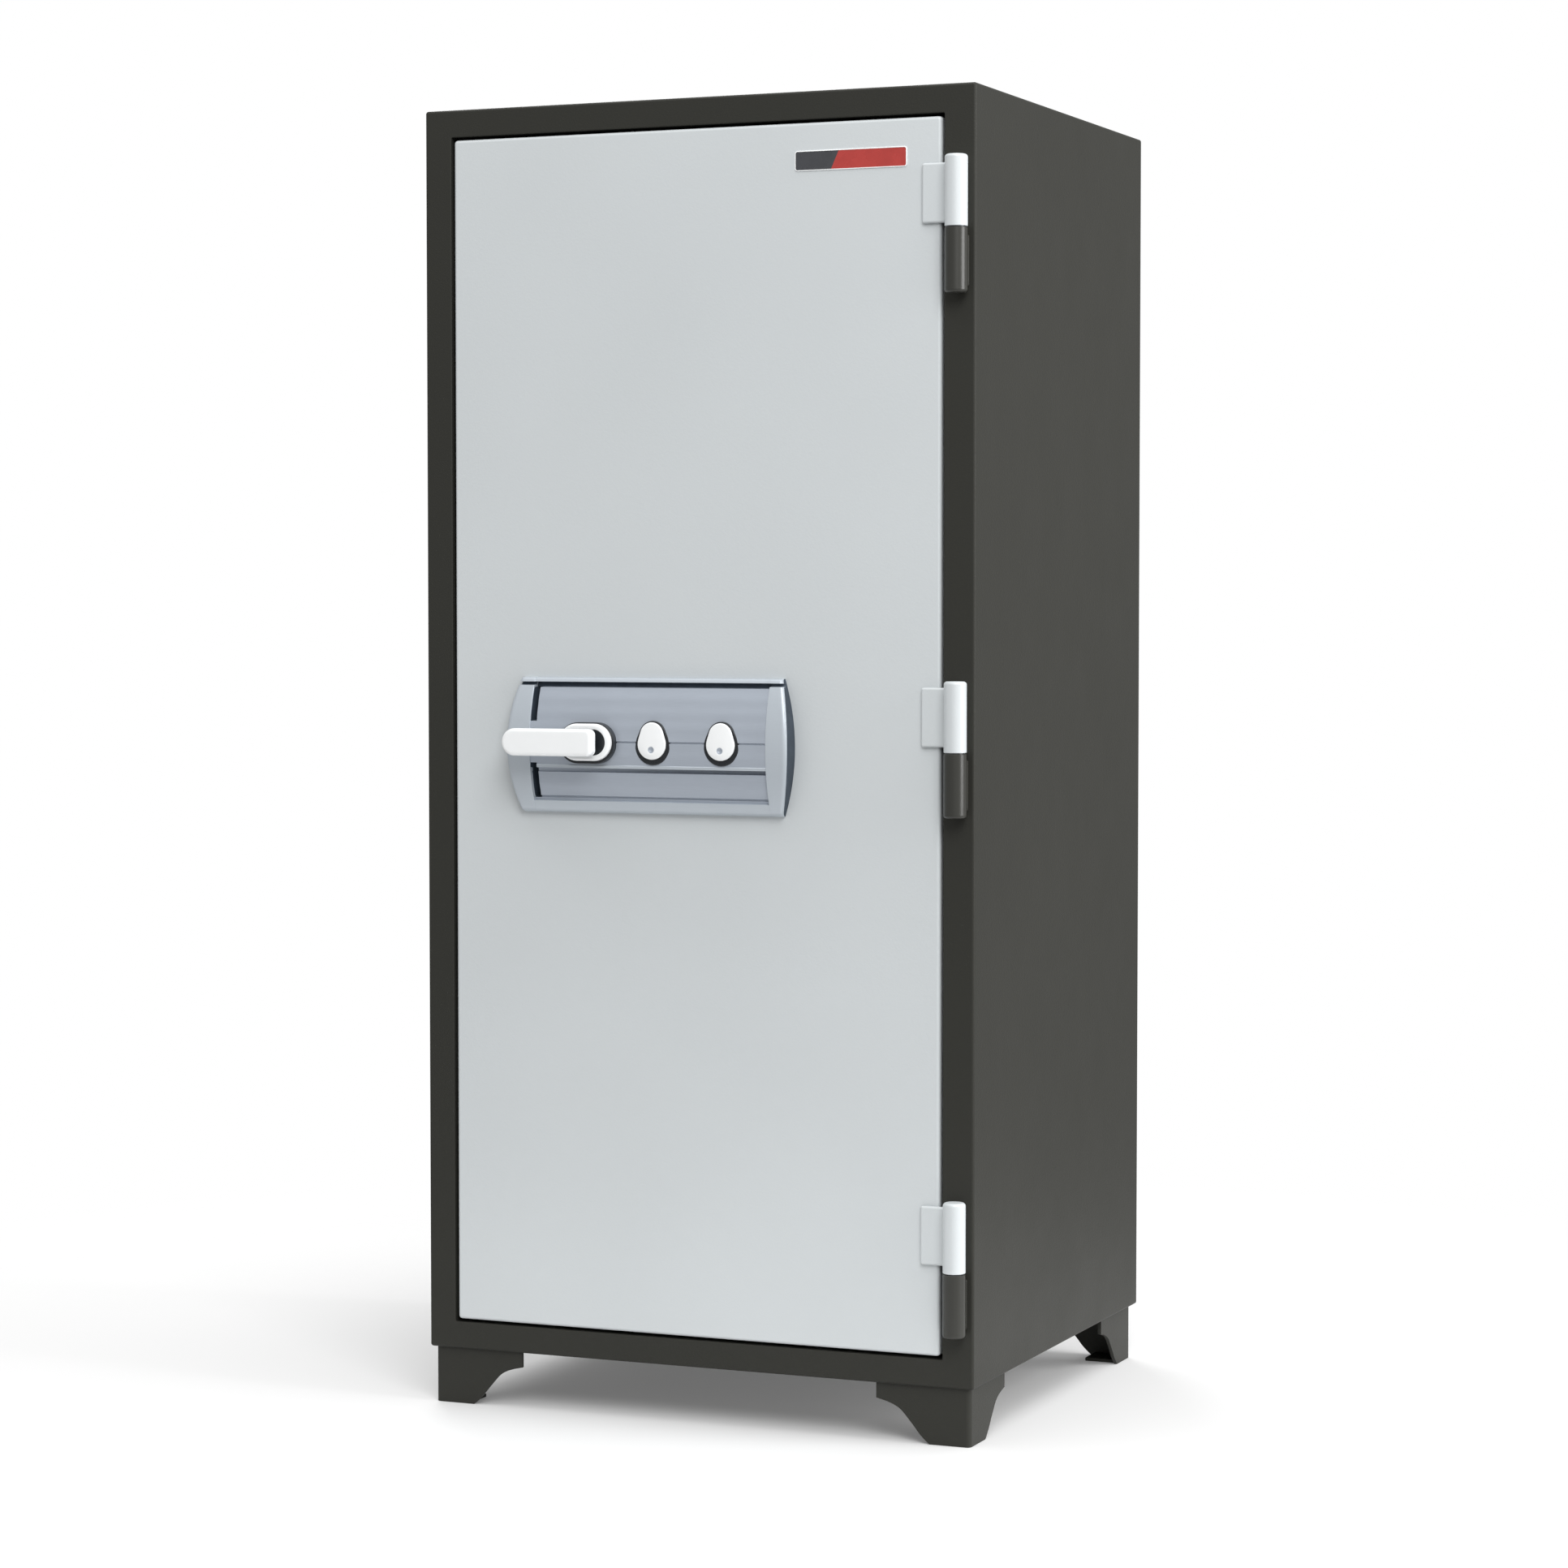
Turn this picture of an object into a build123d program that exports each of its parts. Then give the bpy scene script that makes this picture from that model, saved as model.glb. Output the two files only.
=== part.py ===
from build123d import *
from math import cos, pi, radians, sin
import os

# Fire-resistant document cabinet with one door, three lift-off hinges, a lever
# handle that throws four locking bolts, and two key locks behind drop covers.
# Millimetres. +Z up, the door faces -Y, origin on the floor at the middle of
# the whole object. Depths are measured back from the front face of the door.

# Cabinet body
BODY_WIDTH = 640
BODY_DEPTH = 555
BODY_HEIGHT = 1358
FOOT_HEIGHT = 62
HANDLE_REACH = 58
SHEET = 2
CASING_BEND = 4
WALL = 62
FLOOR_WALL = 64

# Feet: a 106 mm bracket with a lip, an ogee down to a short sole, and two plates
FOOT_LENGTH = 106
FOOT_LIP = 17
FOOT_OGEE = [(81, -25.5), (66, -41), (56, -53)]
FOOT_SOLE = 46
FOOT_CHAMFER = 3
FOOT_PLATE = 4
FOOT_INSET = 5
REAR_FOOT_INSET = 10
FOOT_TOP_SPAN = (4, 86)
FOOT_SOLE_SPAN = (3, 41)
FOOT_SCREWS = [(24, 70), (70, 24), (70, 70)]
FOOT_SCREW_RADIUS = 4.5
FOOT_SCREW_HEAD_RADIUS = 7.5
FOOT_SCREW_HEAD = 5

# Door, as seen from the front
DOOR_LEFT = -285
DOOR_RIGHT = 282
DOOR_BOTTOM = FOOT_HEIGHT + 33
DOOR_TOP = FOOT_HEIGHT + 1325
DOOR_GAP = 3.5
DOOR_FACE_DEPTH = 30
SEAL_GAP = 3
PLUG_LEFT = -247
PLUG_RIGHT = 250
PLUG_END_GAP = 5
PLUG_DEPTH = 100
PLUG_SHEET = 1.5
PLUG_LIP = 14
DOOR_EDGE_RADIUS = 1.5
MECHANISM_DEPTH = 62
JAMB_DEPTH = 104
CAVITY_BACK = 491
SEAL_THICKNESS = 2.6
SEAL_INNER = 8
SEAL_OUTER = 16
COVER_SCREW_INSET = 8
COVER_SCREW_RADIUS = 2.5
COVER_SCREW_LENGTH = 8
COVER_SCREW_HEAD_RADIUS = 5
COVER_SCREW_HEAD = 2.5

# Hinges: the upper knuckle is on the door, the lower one on the cabinet
HINGE_X = 303
HINGE_OFFSET = -12.5
HINGE_RADIUS = 12
HINGE_JOINTS = {"bottom": 186, "middle": 728.5, "top": 1271}
DOOR_KNUCKLE = 74
CABINET_KNUCKLE = 67
HINGE_PIN_RADIUS = 6
HINGE_PIN_HALF = 52
WASHER = 1
KNUCKLE_CHAMFER = 3
LEAF_EDGE_X = 262
LEAF_THICKNESS = 5
LEAF_SINK = 5
LEAF_DROP = 7
WELD_PAD_HALF = 7
WELD_PAD_END = 6

# Locks, handle and boltwork
PANEL_LEFT = -200
PANEL_RIGHT = 107
PANEL_END_BULGE = 11
PANEL_Z = 731
PANEL_HALF_HEIGHT = 73
PANEL_EDGE_DEPTH = 8
PANEL_CROWN = 24
LOWER_FIELD = -26
FIELD_EDGE = 61
RAIL_EDGE = 64
RAIL_PROUD = 1
GROOVE_SINK = -4
LOWER_FIELD_SINK = -3
CAP_LEFT_X = -179
CAP_RIGHT_X = 94
FITTING_SEAT = -20
FITTING_CUT = -40
SPINDLE_X = -112
LOCK_Z = 735
KEY_X = {"left": -37, "right": 43}
SPINDLE_RADIUS = 6
HANDLE_LEFT = -201
HANDLE_RIGHT = -91
HANDLE_WIDTH = 29.5
HANDLE_THICKNESS = 13
HANDLE_CORNER = 8
HANDLE_FRONT_RADIUS = 4
HANDLE_BACK_RADIUS = 3
NECK_RADIUS = 12
NECK_GAP = 0.3
SPINDLE_SINK = 5
ROSE_FRONT = -36
ROSE_WIDTH = 61
ROSE_HEIGHT = 40
ROSE_RADIUS = 2.5
KEY_TUBE_RADIUS = 8
KEY_TUBE_WALL = 1.5
KEYHOLE_HALF_WIDTH = 2.2
KEYHOLE_HALF_HEIGHT = 6
ESCUTCHEON_FRONT = -24
ESCUTCHEON_EGG = (LOCK_Z - 3.5, 20.5, LOCK_Z + 7.5, 16)
COVER_EGG = (LOCK_Z - 1.5, 16.5, LOCK_Z + 8.5, 13.5)
COVER_FRONT = -28
COVER_BACK = -24.5
COVER_RADIUS = 1.5
COVER_PIVOT_Z = LOCK_Z + 15
COVER_PIVOT_RADIUS = 2
BADGE_CENTRE = (181, 1347)
BADGE_SIZE = (126, 21)
BADGE_CORNER = 3
BADGE_THICKNESS = 1.2

# Boltwork behind the mechanism plate
BOLT_THROW = 25
BOLT_RADIUS = 10
BOLT_DEPTH = 80
BOLT_HEIGHTS = [250, 577, 905, 1232]
BOLT_TIP_X = -248
BOLT_CHAMFER = 2
BOLT_BAR_X = -200
BOLT_BAR_WIDTH = 6
BOLT_BAR_DEPTHS = (66, 94)
BOLT_BAR_OVERHANG = 20
BUSH_LENGTH = 12
BUSH_WALL = 2
BUSH_FLANGE = 6
BUSH_FLANGE_THICKNESS = 3
DOG_RADIUS = 8
DOG_REACH = 18
DOG_ROOT = 14
PLATE_DEPTHS = (74, 78)
CAM_DEPTHS = (66, 70)
CAM_HUB_RADIUS = 14
CAM_MARGIN = 5
SPINDLE_END = 71
FOLLOWER_START = 22
FOLLOWER_RADIUS = 4
FOLLOWER_END = 65
FOLLOWER_PLATE_HALF = 13
GUIDE_STUDS = {"low": (-150, 400), "arm": (-60, 802), "high": (-150, 1100)}
GUIDE_RADIUS = 5
GUIDE_HEAD = 3
GUIDE_HEAD_THICKNESS = 2
GUIDE_PLAY = 0.4
GUIDE_PLATE_REACH = 45
GUIDE_PLATE_HALF = 15
ARM_Z = (790, 815)
ARM_OVERHANG = 17
LUG_WIDTH = 10
LUG_CLEARANCE = 1

# Key locks
LOCK_BOLT_THROW = 12
LOCK_BOLT_HALF = 6
LOCK_BOLT_TOP = 774.5
LOCK_BOLT_TAIL = 4
LOCK_BOLT_DEPTHS = (73, 80)
LOCK_PIN_START = 10
LOCK_PIN_RADIUS = 2
LOCK_PIN_END = 69.5
KEY_CAM_RADIUS = 27
KEY_CAM_DEPTHS = (69, 72)
KEY_CORE_GAP = 0.3
KEY_SLOT_END = 68
CASE_HALF = 30
CASE_Z = (690, 775)
CASE_BACK = 90

# Running fits
FIT = 0.05
SLOT_FIT = 0.1

# Shelves
SHELF_COUNT = 3
SHELF_HALF_WIDTH = 248
SHELF_DEPTHS = (120, 484)
SHELF_LIP = 25
UPRIGHT_DEPTHS = (160, 430)
UPRIGHT_HALF_WIDTH = 12
UPRIGHT_THICKNESS = 8
UPRIGHT_END_GAP = 20
UPRIGHT_SLOTS = 24
UPRIGHT_FIRST_SLOT = 40
UPRIGHT_PITCH = 50
UPRIGHT_SLOT_HALF_WIDTH = 3
UPRIGHT_SLOT_HEIGHT = 14
CLIP_REACH = 24
CLIP_HALF_WIDTH = 9
CLIP_THICKNESS = 3
CLIP_HEIGHT = 22

FRONT = -(BODY_DEPTH - HANDLE_REACH) / 2
HALF = BODY_WIDTH / 2
BODY_BOTTOM = FOOT_HEIGHT
BODY_TOP = FOOT_HEIGHT + BODY_HEIGHT
CAVITY = (-HALF + WALL, HALF - WALL, BODY_BOTTOM + FLOOR_WALL, BODY_TOP - FLOOR_WALL)
OPENING = (
    DOOR_LEFT - DOOR_GAP,
    DOOR_RIGHT + DOOR_GAP,
    DOOR_BOTTOM - DOOR_GAP,
    DOOR_TOP + DOOR_GAP,
)
DOOR_FACE = (DOOR_LEFT, DOOR_RIGHT, DOOR_BOTTOM, DOOR_TOP)
PLUG = (PLUG_LEFT, PLUG_RIGHT, CAVITY[2] + PLUG_END_GAP, CAVITY[3] - PLUG_END_GAP)
STEP_DEPTH = DOOR_FACE_DEPTH + SEAL_GAP
POCKET_Z = (200, 1282)
LATCH_POCKET = (CAVITY[0] - 26, CAVITY[0] - SHEET, 58, 102, *POCKET_Z)
HINGE_POCKET = (CAVITY[1] + SHEET, CAVITY[1] + 16, 56, 96, *POCKET_Z)
DOG_HOLE_DEPTHS = (62, 92)
DOG_HOLE_HALF = 11
ROSE_HALF_RUN = (ROSE_WIDTH - ROSE_HEIGHT) / 2
ROSE_ENDS = (SPINDLE_X - ROSE_HALF_RUN, SPINDLE_X + ROSE_HALF_RUN)
CASE_DEPTHS = (MECHANISM_DEPTH + SHEET, CASE_BACK)
QUARTER = pi / 2
PANEL_BANDS = [
    (-PANEL_HALF_HEIGHT, -RAIL_EDGE, RAIL_PROUD),
    (-RAIL_EDGE, -FIELD_EDGE, GROOVE_SINK),
    (-FIELD_EDGE, LOWER_FIELD, LOWER_FIELD_SINK),
    (LOWER_FIELD, FIELD_EDGE, 0),
    (FIELD_EDGE, RAIL_EDGE, GROOVE_SINK),
    (RAIL_EDGE, PANEL_HALF_HEIGHT, RAIL_PROUD),
]


def grown(rectangle, margin):
    """A rectangle (x0, x1, z0, z1) with every side moved out by a margin."""
    x0, x1, z0, z1 = rectangle
    return (x0 - margin, x1 + margin, z0 - margin, z1 + margin)


def block(x0, x1, depth0, depth1, z0, z1):
    """A box between two x values, two depths and two heights."""
    centre = ((x0 + x1) / 2, FRONT + (depth0 + depth1) / 2, (z0 + z1) / 2)
    return Pos(*centre) * Box(x1 - x0, depth1 - depth0, z1 - z0)


def slab(rectangle, depth0, depth1):
    """A box that fills a front-view rectangle between two depths."""
    x0, x1, z0, z1 = rectangle
    return block(x0, x1, depth0, depth1, z0, z1)


def ring(outer, inner, depth0, depth1):
    """A rectangular ring between two front-view rectangles."""
    return slab(outer, depth0, depth1) - slab(inner, depth0 - 1, depth1 + 1)


def rod(x, z, depth0, depth1, radius):
    """A cylinder whose axis runs front to back."""
    centre = Pos(x, FRONT + (depth0 + depth1) / 2, z)
    return centre * Rot(90, 0, 0) * Cylinder(radius, depth1 - depth0)


def cross_rod(depth, z, x0, x1, radius):
    """A cylinder whose axis runs left to right."""
    return Pos((x0 + x1) / 2, FRONT + depth, z) * Rot(0, 90, 0) * Cylinder(radius, x1 - x0)


def post(x, depth, z0, z1, radius):
    """An upright cylinder."""
    return Pos(x, FRONT + depth, (z0 + z1) / 2) * Cylinder(radius, z1 - z0)


def plate(outline, depth0, depth1):
    """A front-view outline (x, z) made into a solid between two depths."""
    back_face = Plane(origin=(0, FRONT + depth1, 0), x_dir=(1, 0, 0), z_dir=(0, -1, 0))
    return extrude(back_face * outline, amount=depth1 - depth0)


def slot_along_x(x, z, half_height, x0, x1):
    """A front-view outline of a round-ended slot whose end centres lie at x0 and x1."""
    middle = Pos((x0 + x1) / 2, z)
    return middle * SlotOverall(x1 - x0 + 2 * half_height, 2 * half_height)


def egg(x, low_z, low_radius, high_z, high_radius):
    """A front-view egg: two circles, one above the other, joined by their tangents."""
    low = Pos(x, low_z) * Circle(low_radius)
    high = Pos(x, high_z) * Circle(high_radius)
    return make_hull((low + high).edges())


# ---------------------------------------------------------------- cabinet


def make_outer_casing():
    """Folded sheet sides and top with the front return around the door."""
    outside = block(-HALF, HALF, 0, BODY_DEPTH, BODY_BOTTOM, BODY_TOP)
    front_corners = outside.edges().filter_by(Axis.Z).group_by(Axis.Y)[0]
    outside = fillet(front_corners, CASING_BEND)
    top_corners = outside.edges().filter_by(Axis.Y).group_by(Axis.Z)[-1]
    outside = fillet(top_corners, CASING_BEND)
    inner = HALF - SHEET
    inside = block(-inner, inner, SHEET, BODY_DEPTH + 1, BODY_BOTTOM - 1, BODY_TOP - SHEET)
    window = slab(OPENING, -1, SHEET + 1)
    return outside - inside - window


def make_back_panel():
    inner = HALF - SHEET
    return block(-inner, inner, BODY_DEPTH - SHEET, BODY_DEPTH, BODY_BOTTOM, BODY_TOP - SHEET)


def make_base_plate():
    inner = HALF - SHEET
    return block(-inner, inner, SHEET, BODY_DEPTH - SHEET, BODY_BOTTOM, BODY_BOTTOM + SHEET)


def make_front_frame():
    """Stepped jamb: opening wall, seal step and inner wall with the bolt holes."""
    opening_wall = ring(grown(OPENING, SHEET), OPENING, SHEET, STEP_DEPTH + SHEET)
    step = ring(grown(OPENING, SHEET), CAVITY, STEP_DEPTH, STEP_DEPTH + SHEET)
    inner_wall = ring(grown(CAVITY, SHEET), CAVITY, STEP_DEPTH, JAMB_DEPTH)
    frame = opening_wall + step + inner_wall
    for z in BOLT_HEIGHTS:
        frame -= cross_rod(BOLT_DEPTH, z, CAVITY[0] - SHEET - 1, CAVITY[0] + 1, BOLT_RADIUS + 2)
        hole = (z - DOG_HOLE_HALF, z + DOG_HOLE_HALF)
        frame -= block(CAVITY[1] - 1, CAVITY[1] + SHEET + 1, *DOG_HOLE_DEPTHS, *hole)
    return frame


def make_inner_liner():
    walls = ring(grown(CAVITY, SHEET), CAVITY, JAMB_DEPTH, CAVITY_BACK + SHEET)
    return walls + slab(CAVITY, CAVITY_BACK, CAVITY_BACK + SHEET)


def make_strike_channels():
    """Steel channels that line the two pockets: one takes the thrown bolts, one the fixed ones."""
    x0, x1, depth0, depth1, z0, z1 = LATCH_POCKET
    latch = block(*LATCH_POCKET)
    latch -= block(x0 + SHEET, x1 + 1, depth0 + SHEET, depth1 - SHEET, z0 - 1, z1 + 1)
    x0, x1, depth0, depth1, z0, z1 = HINGE_POCKET
    hinge = block(*HINGE_POCKET)
    hinge -= block(x0 - 1, x1 - SHEET, depth0 + SHEET, depth1 - SHEET, z0 - 1, z1 + 1)
    return [latch, hinge]


def make_side_insulation(side, pocket):
    """One side slab, thinner beside the door so that the opening steps in."""
    outer = side * (HALF - SHEET)
    inner = side * (CAVITY[1] + SHEET)
    opening = OPENING[1] + SHEET if side > 0 else OPENING[0] - SHEET
    z0 = BODY_BOTTOM + SHEET
    z1 = BODY_TOP - SHEET
    near, far = sorted((outer, inner))
    fill = block(near, far, STEP_DEPTH + SHEET, CAVITY_BACK + SHEET, z0, z1)
    near, far = sorted((outer, opening))
    fill += block(near, far, SHEET, STEP_DEPTH + SHEET, z0, z1)
    return fill - block(*pocket)


def make_end_insulation(top):
    """The slab above or below the cavity, between the side slabs."""
    if top:
        outer, inner, opening = BODY_TOP - SHEET, CAVITY[3] + SHEET, OPENING[3] + SHEET
    else:
        outer, inner, opening = BODY_BOTTOM + SHEET, CAVITY[2] - SHEET, OPENING[2] - SHEET
    low, high = sorted((outer, inner))
    half = CAVITY[1] + SHEET
    fill = block(-half, half, STEP_DEPTH + SHEET, CAVITY_BACK + SHEET, low, high)
    low, high = sorted((outer, opening))
    x0 = OPENING[0] - SHEET
    x1 = OPENING[1] + SHEET
    return fill + block(x0, x1, SHEET, STEP_DEPTH + SHEET, low, high)


def make_back_insulation():
    inner = HALF - SHEET
    z0 = BODY_BOTTOM + SHEET
    return block(-inner, inner, CAVITY_BACK + SHEET, BODY_DEPTH - SHEET, z0, BODY_TOP - SHEET)


def make_door_seal():
    """Soft strip on the step, just clear of the closed door."""
    outer = grown(CAVITY, SEAL_OUTER)
    return ring(outer, grown(CAVITY, SEAL_INNER), STEP_DEPTH - SEAL_THICKNESS, STEP_DEPTH)


def foot_outline():
    """Bracket foot seen square on: long at the top, an ogee down to a short sole."""
    top = Polyline((0, 0), (FOOT_LENGTH, 0), (FOOT_LENGTH, -FOOT_LIP))
    ogee = Spline((FOOT_LENGTH, -FOOT_LIP), *FOOT_OGEE, (FOOT_SOLE, -FOOT_HEIGHT))
    sole = Polyline(
        (FOOT_SOLE, -FOOT_HEIGHT),
        (FOOT_CHAMFER, -FOOT_HEIGHT),
        (0, -FOOT_HEIGHT + FOOT_CHAMFER),
        (0, 0),
    )
    return make_face(top.edges() + ogee.edges() + sole.edges())


def square_plate(span, z):
    """A level plate of a foot over the same span in X and Y, with its middle at z."""
    middle = (span[0] + span[1]) / 2
    length = span[1] - span[0]
    return Pos(middle, middle, z) * Box(length, length, FOOT_PLATE)


def make_foot():
    """A foot with its outer corner at the origin and its flanges along +X and +Y."""
    front = extrude(Plane.XZ * foot_outline(), amount=-FOOT_PLATE)
    side = mirror(Rot(0, 0, 90) * front, about=Plane.YZ)
    top = square_plate(FOOT_TOP_SPAN, -FOOT_PLATE / 2)
    sole = square_plate(FOOT_SOLE_SPAN, FOOT_PLATE / 2 - FOOT_HEIGHT)
    foot = front + side + top + sole
    for x, y in FOOT_SCREWS:
        foot -= Pos(x, y, 0) * Cylinder(FOOT_SCREW_RADIUS, 3 * FOOT_PLATE)
    return foot


def make_foot_screw():
    """A foot screw with its plate's underside at z = 0."""
    shank = Pos(0, 0, FOOT_PLATE / 2) * Cylinder(FOOT_SCREW_RADIUS, FOOT_PLATE)
    return shank + Pos(0, 0, -FOOT_SCREW_HEAD / 2) * Cylinder(FOOT_SCREW_HEAD_RADIUS, FOOT_SCREW_HEAD)


def make_feet():
    """Four feet and the screws that hold each to the base."""
    foot = make_foot()
    corners = {
        "foot_front_left": (False, False),
        "foot_front_right": (True, False),
        "foot_rear_left": (False, True),
        "foot_rear_right": (True, True),
    }
    feet = {}
    screws = []
    for name, (right, rear) in corners.items():
        sign_x = -1 if right else 1
        sign_y = -1 if rear else 1
        x = -sign_x * (HALF - FOOT_INSET)
        y = FRONT + BODY_DEPTH - REAR_FOOT_INSET if rear else FRONT + FOOT_INSET
        piece = mirror(foot, about=Plane.YZ) if right else foot
        piece = mirror(piece, about=Plane.XZ) if rear else piece
        feet[name] = Pos(x, y, FOOT_HEIGHT) * piece
        for hole_x, hole_y in FOOT_SCREWS:
            spot = Pos(x + sign_x * hole_x, y + sign_y * hole_y, FOOT_HEIGHT - FOOT_PLATE)
            screws.append(spot * make_foot_screw())
    return feet, screws


def shelf_height(number):
    """Top face of a shelf; the shelves split the cavity evenly."""
    return CAVITY[2] + number * (CAVITY[3] - CAVITY[2]) / (SHELF_COUNT + 1)


def make_shelf(number):
    """Folded tray shelf with a lip that turns down all round."""
    top = shelf_height(number)
    front, back = SHELF_DEPTHS
    shelf = block(-SHELF_HALF_WIDTH, SHELF_HALF_WIDTH, front, back, top - SHELF_LIP, top)
    inside = SHELF_HALF_WIDTH - SHEET
    return shelf - block(-inside, inside, front + SHEET, back - SHEET, top - SHELF_LIP - 1, top - SHEET)


def beside_wall(side, near, far):
    """Two x values in rising order, at two distances from one of the cavity's side walls."""
    return sorted((side * (CAVITY[1] - near), side * (CAVITY[1] - far)))


def make_shelf_uprights():
    """Four slotted strips, two on each side wall."""
    strips = []
    for side in (-1, 1):
        x0, x1 = beside_wall(side, 0, UPRIGHT_THICKNESS)
        for depth in UPRIGHT_DEPTHS:
            width = (depth - UPRIGHT_HALF_WIDTH, depth + UPRIGHT_HALF_WIDTH)
            strip = block(x0, x1, *width, CAVITY[2] + UPRIGHT_END_GAP, CAVITY[3] - UPRIGHT_END_GAP)
            slot = (depth - UPRIGHT_SLOT_HALF_WIDTH, depth + UPRIGHT_SLOT_HALF_WIDTH)
            for step in range(UPRIGHT_SLOTS):
                z = CAVITY[2] + UPRIGHT_FIRST_SLOT + step * UPRIGHT_PITCH
                strip -= block(x0 - 1, x1 + 1, *slot, z, z + UPRIGHT_SLOT_HEIGHT)
            strips.append(strip)
    return strips


def make_shelf_clips():
    """Hooks in the strips, one under each corner of each shelf."""
    clips = []
    for number in range(1, SHELF_COUNT + 1):
        z = shelf_height(number) - SHELF_LIP
        for side in (-1, 1):
            tongue = beside_wall(side, UPRIGHT_THICKNESS, CLIP_REACH)
            tab = beside_wall(side, UPRIGHT_THICKNESS, UPRIGHT_THICKNESS + SHEET)
            for depth in UPRIGHT_DEPTHS:
                width = (depth - CLIP_HALF_WIDTH, depth + CLIP_HALF_WIDTH)
                clip = block(*tongue, *width, z - CLIP_THICKNESS, z)
                clips.append(clip + block(*tab, *width, z - CLIP_HEIGHT, z))
    return clips


def make_cabinet_knuckle(z):
    """Lower knuckle, with a chamfered end and a foot welded to the front frame."""
    high = z - WASHER / 2
    low = high - CABINET_KNUCKLE
    knuckle = post(HINGE_X, HINGE_OFFSET, low, high, HINGE_RADIUS)
    knuckle = chamfer(knuckle.edges().sort_by(Axis.Z)[0], KNUCKLE_CHAMFER)
    pad = (HINGE_X - WELD_PAD_HALF, HINGE_X + WELD_PAD_HALF)
    knuckle += block(*pad, HINGE_OFFSET, 0, low + WELD_PAD_END, z - WELD_PAD_END)
    return knuckle - post(HINGE_X, HINGE_OFFSET, z - HINGE_PIN_HALF, z + 1, HINGE_PIN_RADIUS)


def make_hinge_pins():
    pins = []
    for z in HINGE_JOINTS.values():
        pin = post(HINGE_X, HINGE_OFFSET, z - HINGE_PIN_HALF, z + HINGE_PIN_HALF, HINGE_PIN_RADIUS)
        pins.append(chamfer(pin.edges().sort_by(Axis.Z)[-1], 1.5))
    return pins


def make_hinge_washers():
    washers = []
    for z in HINGE_JOINTS.values():
        disc = post(HINGE_X, HINGE_OFFSET, z - WASHER / 2, z + WASHER / 2, HINGE_RADIUS - 1.5)
        washers.append(disc - post(HINGE_X, HINGE_OFFSET, z - 1, z + 1, HINGE_PIN_RADIUS))
    return washers


# ------------------------------------------------------------------- door


def make_door_knuckle(z):
    """Upper knuckle and its leaf on the door face, bored from below for the pin."""
    low = z + WASHER / 2 + FIT
    knuckle = post(HINGE_X, HINGE_OFFSET, low, low + DOOR_KNUCKLE, HINGE_RADIUS)
    knuckle = chamfer(knuckle.edges().sort_by(Axis.Z)[-1], KNUCKLE_CHAMFER)
    leaf_z = (low + LEAF_SINK, low + DOOR_KNUCKLE - LEAF_DROP)
    knuckle += block(DOOR_RIGHT, HINGE_X - 5, -LEAF_THICKNESS, -0.5, *leaf_z)
    knuckle += block(LEAF_EDGE_X, DOOR_RIGHT, -LEAF_THICKNESS, 0, *leaf_z)
    bore = post(HINGE_X, HINGE_OFFSET, low - 1, z + HINGE_PIN_HALF + 1, HINGE_PIN_RADIUS + FIT)
    return knuckle - bore


def make_door_front():
    """Front pan: the face and the returns around its edge."""
    pan = slab(DOOR_FACE, 0, DOOR_FACE_DEPTH)
    pan = fillet(pan.edges().group_by(Axis.Y)[0], DOOR_EDGE_RADIUS)
    pan -= slab(grown(DOOR_FACE, -SHEET), SHEET, DOOR_FACE_DEPTH + 1)
    return drilled(pan, -1, SHEET + 1)


def drilled(piece, depth0, depth1):
    """A door layer with clearance holes for the spindle and both key tubes."""
    piece -= rod(SPINDLE_X, LOCK_Z, depth0, depth1, SPINDLE_RADIUS + 2)
    for x in KEY_X.values():
        piece -= rod(x, LOCK_Z, depth0, depth1, KEY_TUBE_RADIUS)
    return piece


def make_door_insulation():
    fill = slab(grown(DOOR_FACE, -SHEET), SHEET, DOOR_FACE_DEPTH - SHEET)
    fill += slab(grown(PLUG, -PLUG_SHEET), DOOR_FACE_DEPTH - SHEET, MECHANISM_DEPTH)
    return drilled(fill, 0, MECHANISM_DEPTH + 1)


def cover_screw_places():
    """Front-view places of the screws round the inner cover."""
    x0, x1, z0, z1 = grown(PLUG, -COVER_SCREW_INSET)
    middle = (z0 + z1) / 2
    rows = [z0, (z0 + middle) / 2, middle, (middle + z1) / 2, z1]
    return [(x, z) for z in rows for x in (x0, x1)] + [((x0 + x1) / 2, z0), ((x0 + x1) / 2, z1)]


def make_door_plug_casing():
    """Stepped casing behind the door face: flange, four walls and a rear lip."""
    inside = grown(PLUG, -PLUG_SHEET)
    casing = ring(grown(DOOR_FACE, -SHEET), inside, DOOR_FACE_DEPTH - SHEET, DOOR_FACE_DEPTH)
    casing += ring(PLUG, inside, DOOR_FACE_DEPTH - SHEET, PLUG_DEPTH - PLUG_SHEET)
    lip = grown(inside, -PLUG_LIP)
    casing += ring(PLUG, lip, PLUG_DEPTH - 2 * PLUG_SHEET, PLUG_DEPTH - PLUG_SHEET)
    for z in BOLT_HEIGHTS:
        casing -= cross_rod(BOLT_DEPTH, z, PLUG_LEFT - 1, PLUG_LEFT + 3, BOLT_RADIUS + BUSH_WALL)
        casing -= cross_rod(BOLT_DEPTH, z, PLUG_RIGHT - 3, PLUG_RIGHT + 1, DOG_RADIUS)
    for x, z in cover_screw_places():
        casing -= rod(x, z, PLUG_DEPTH - 4, PLUG_DEPTH, COVER_SCREW_RADIUS)
    return casing


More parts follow.
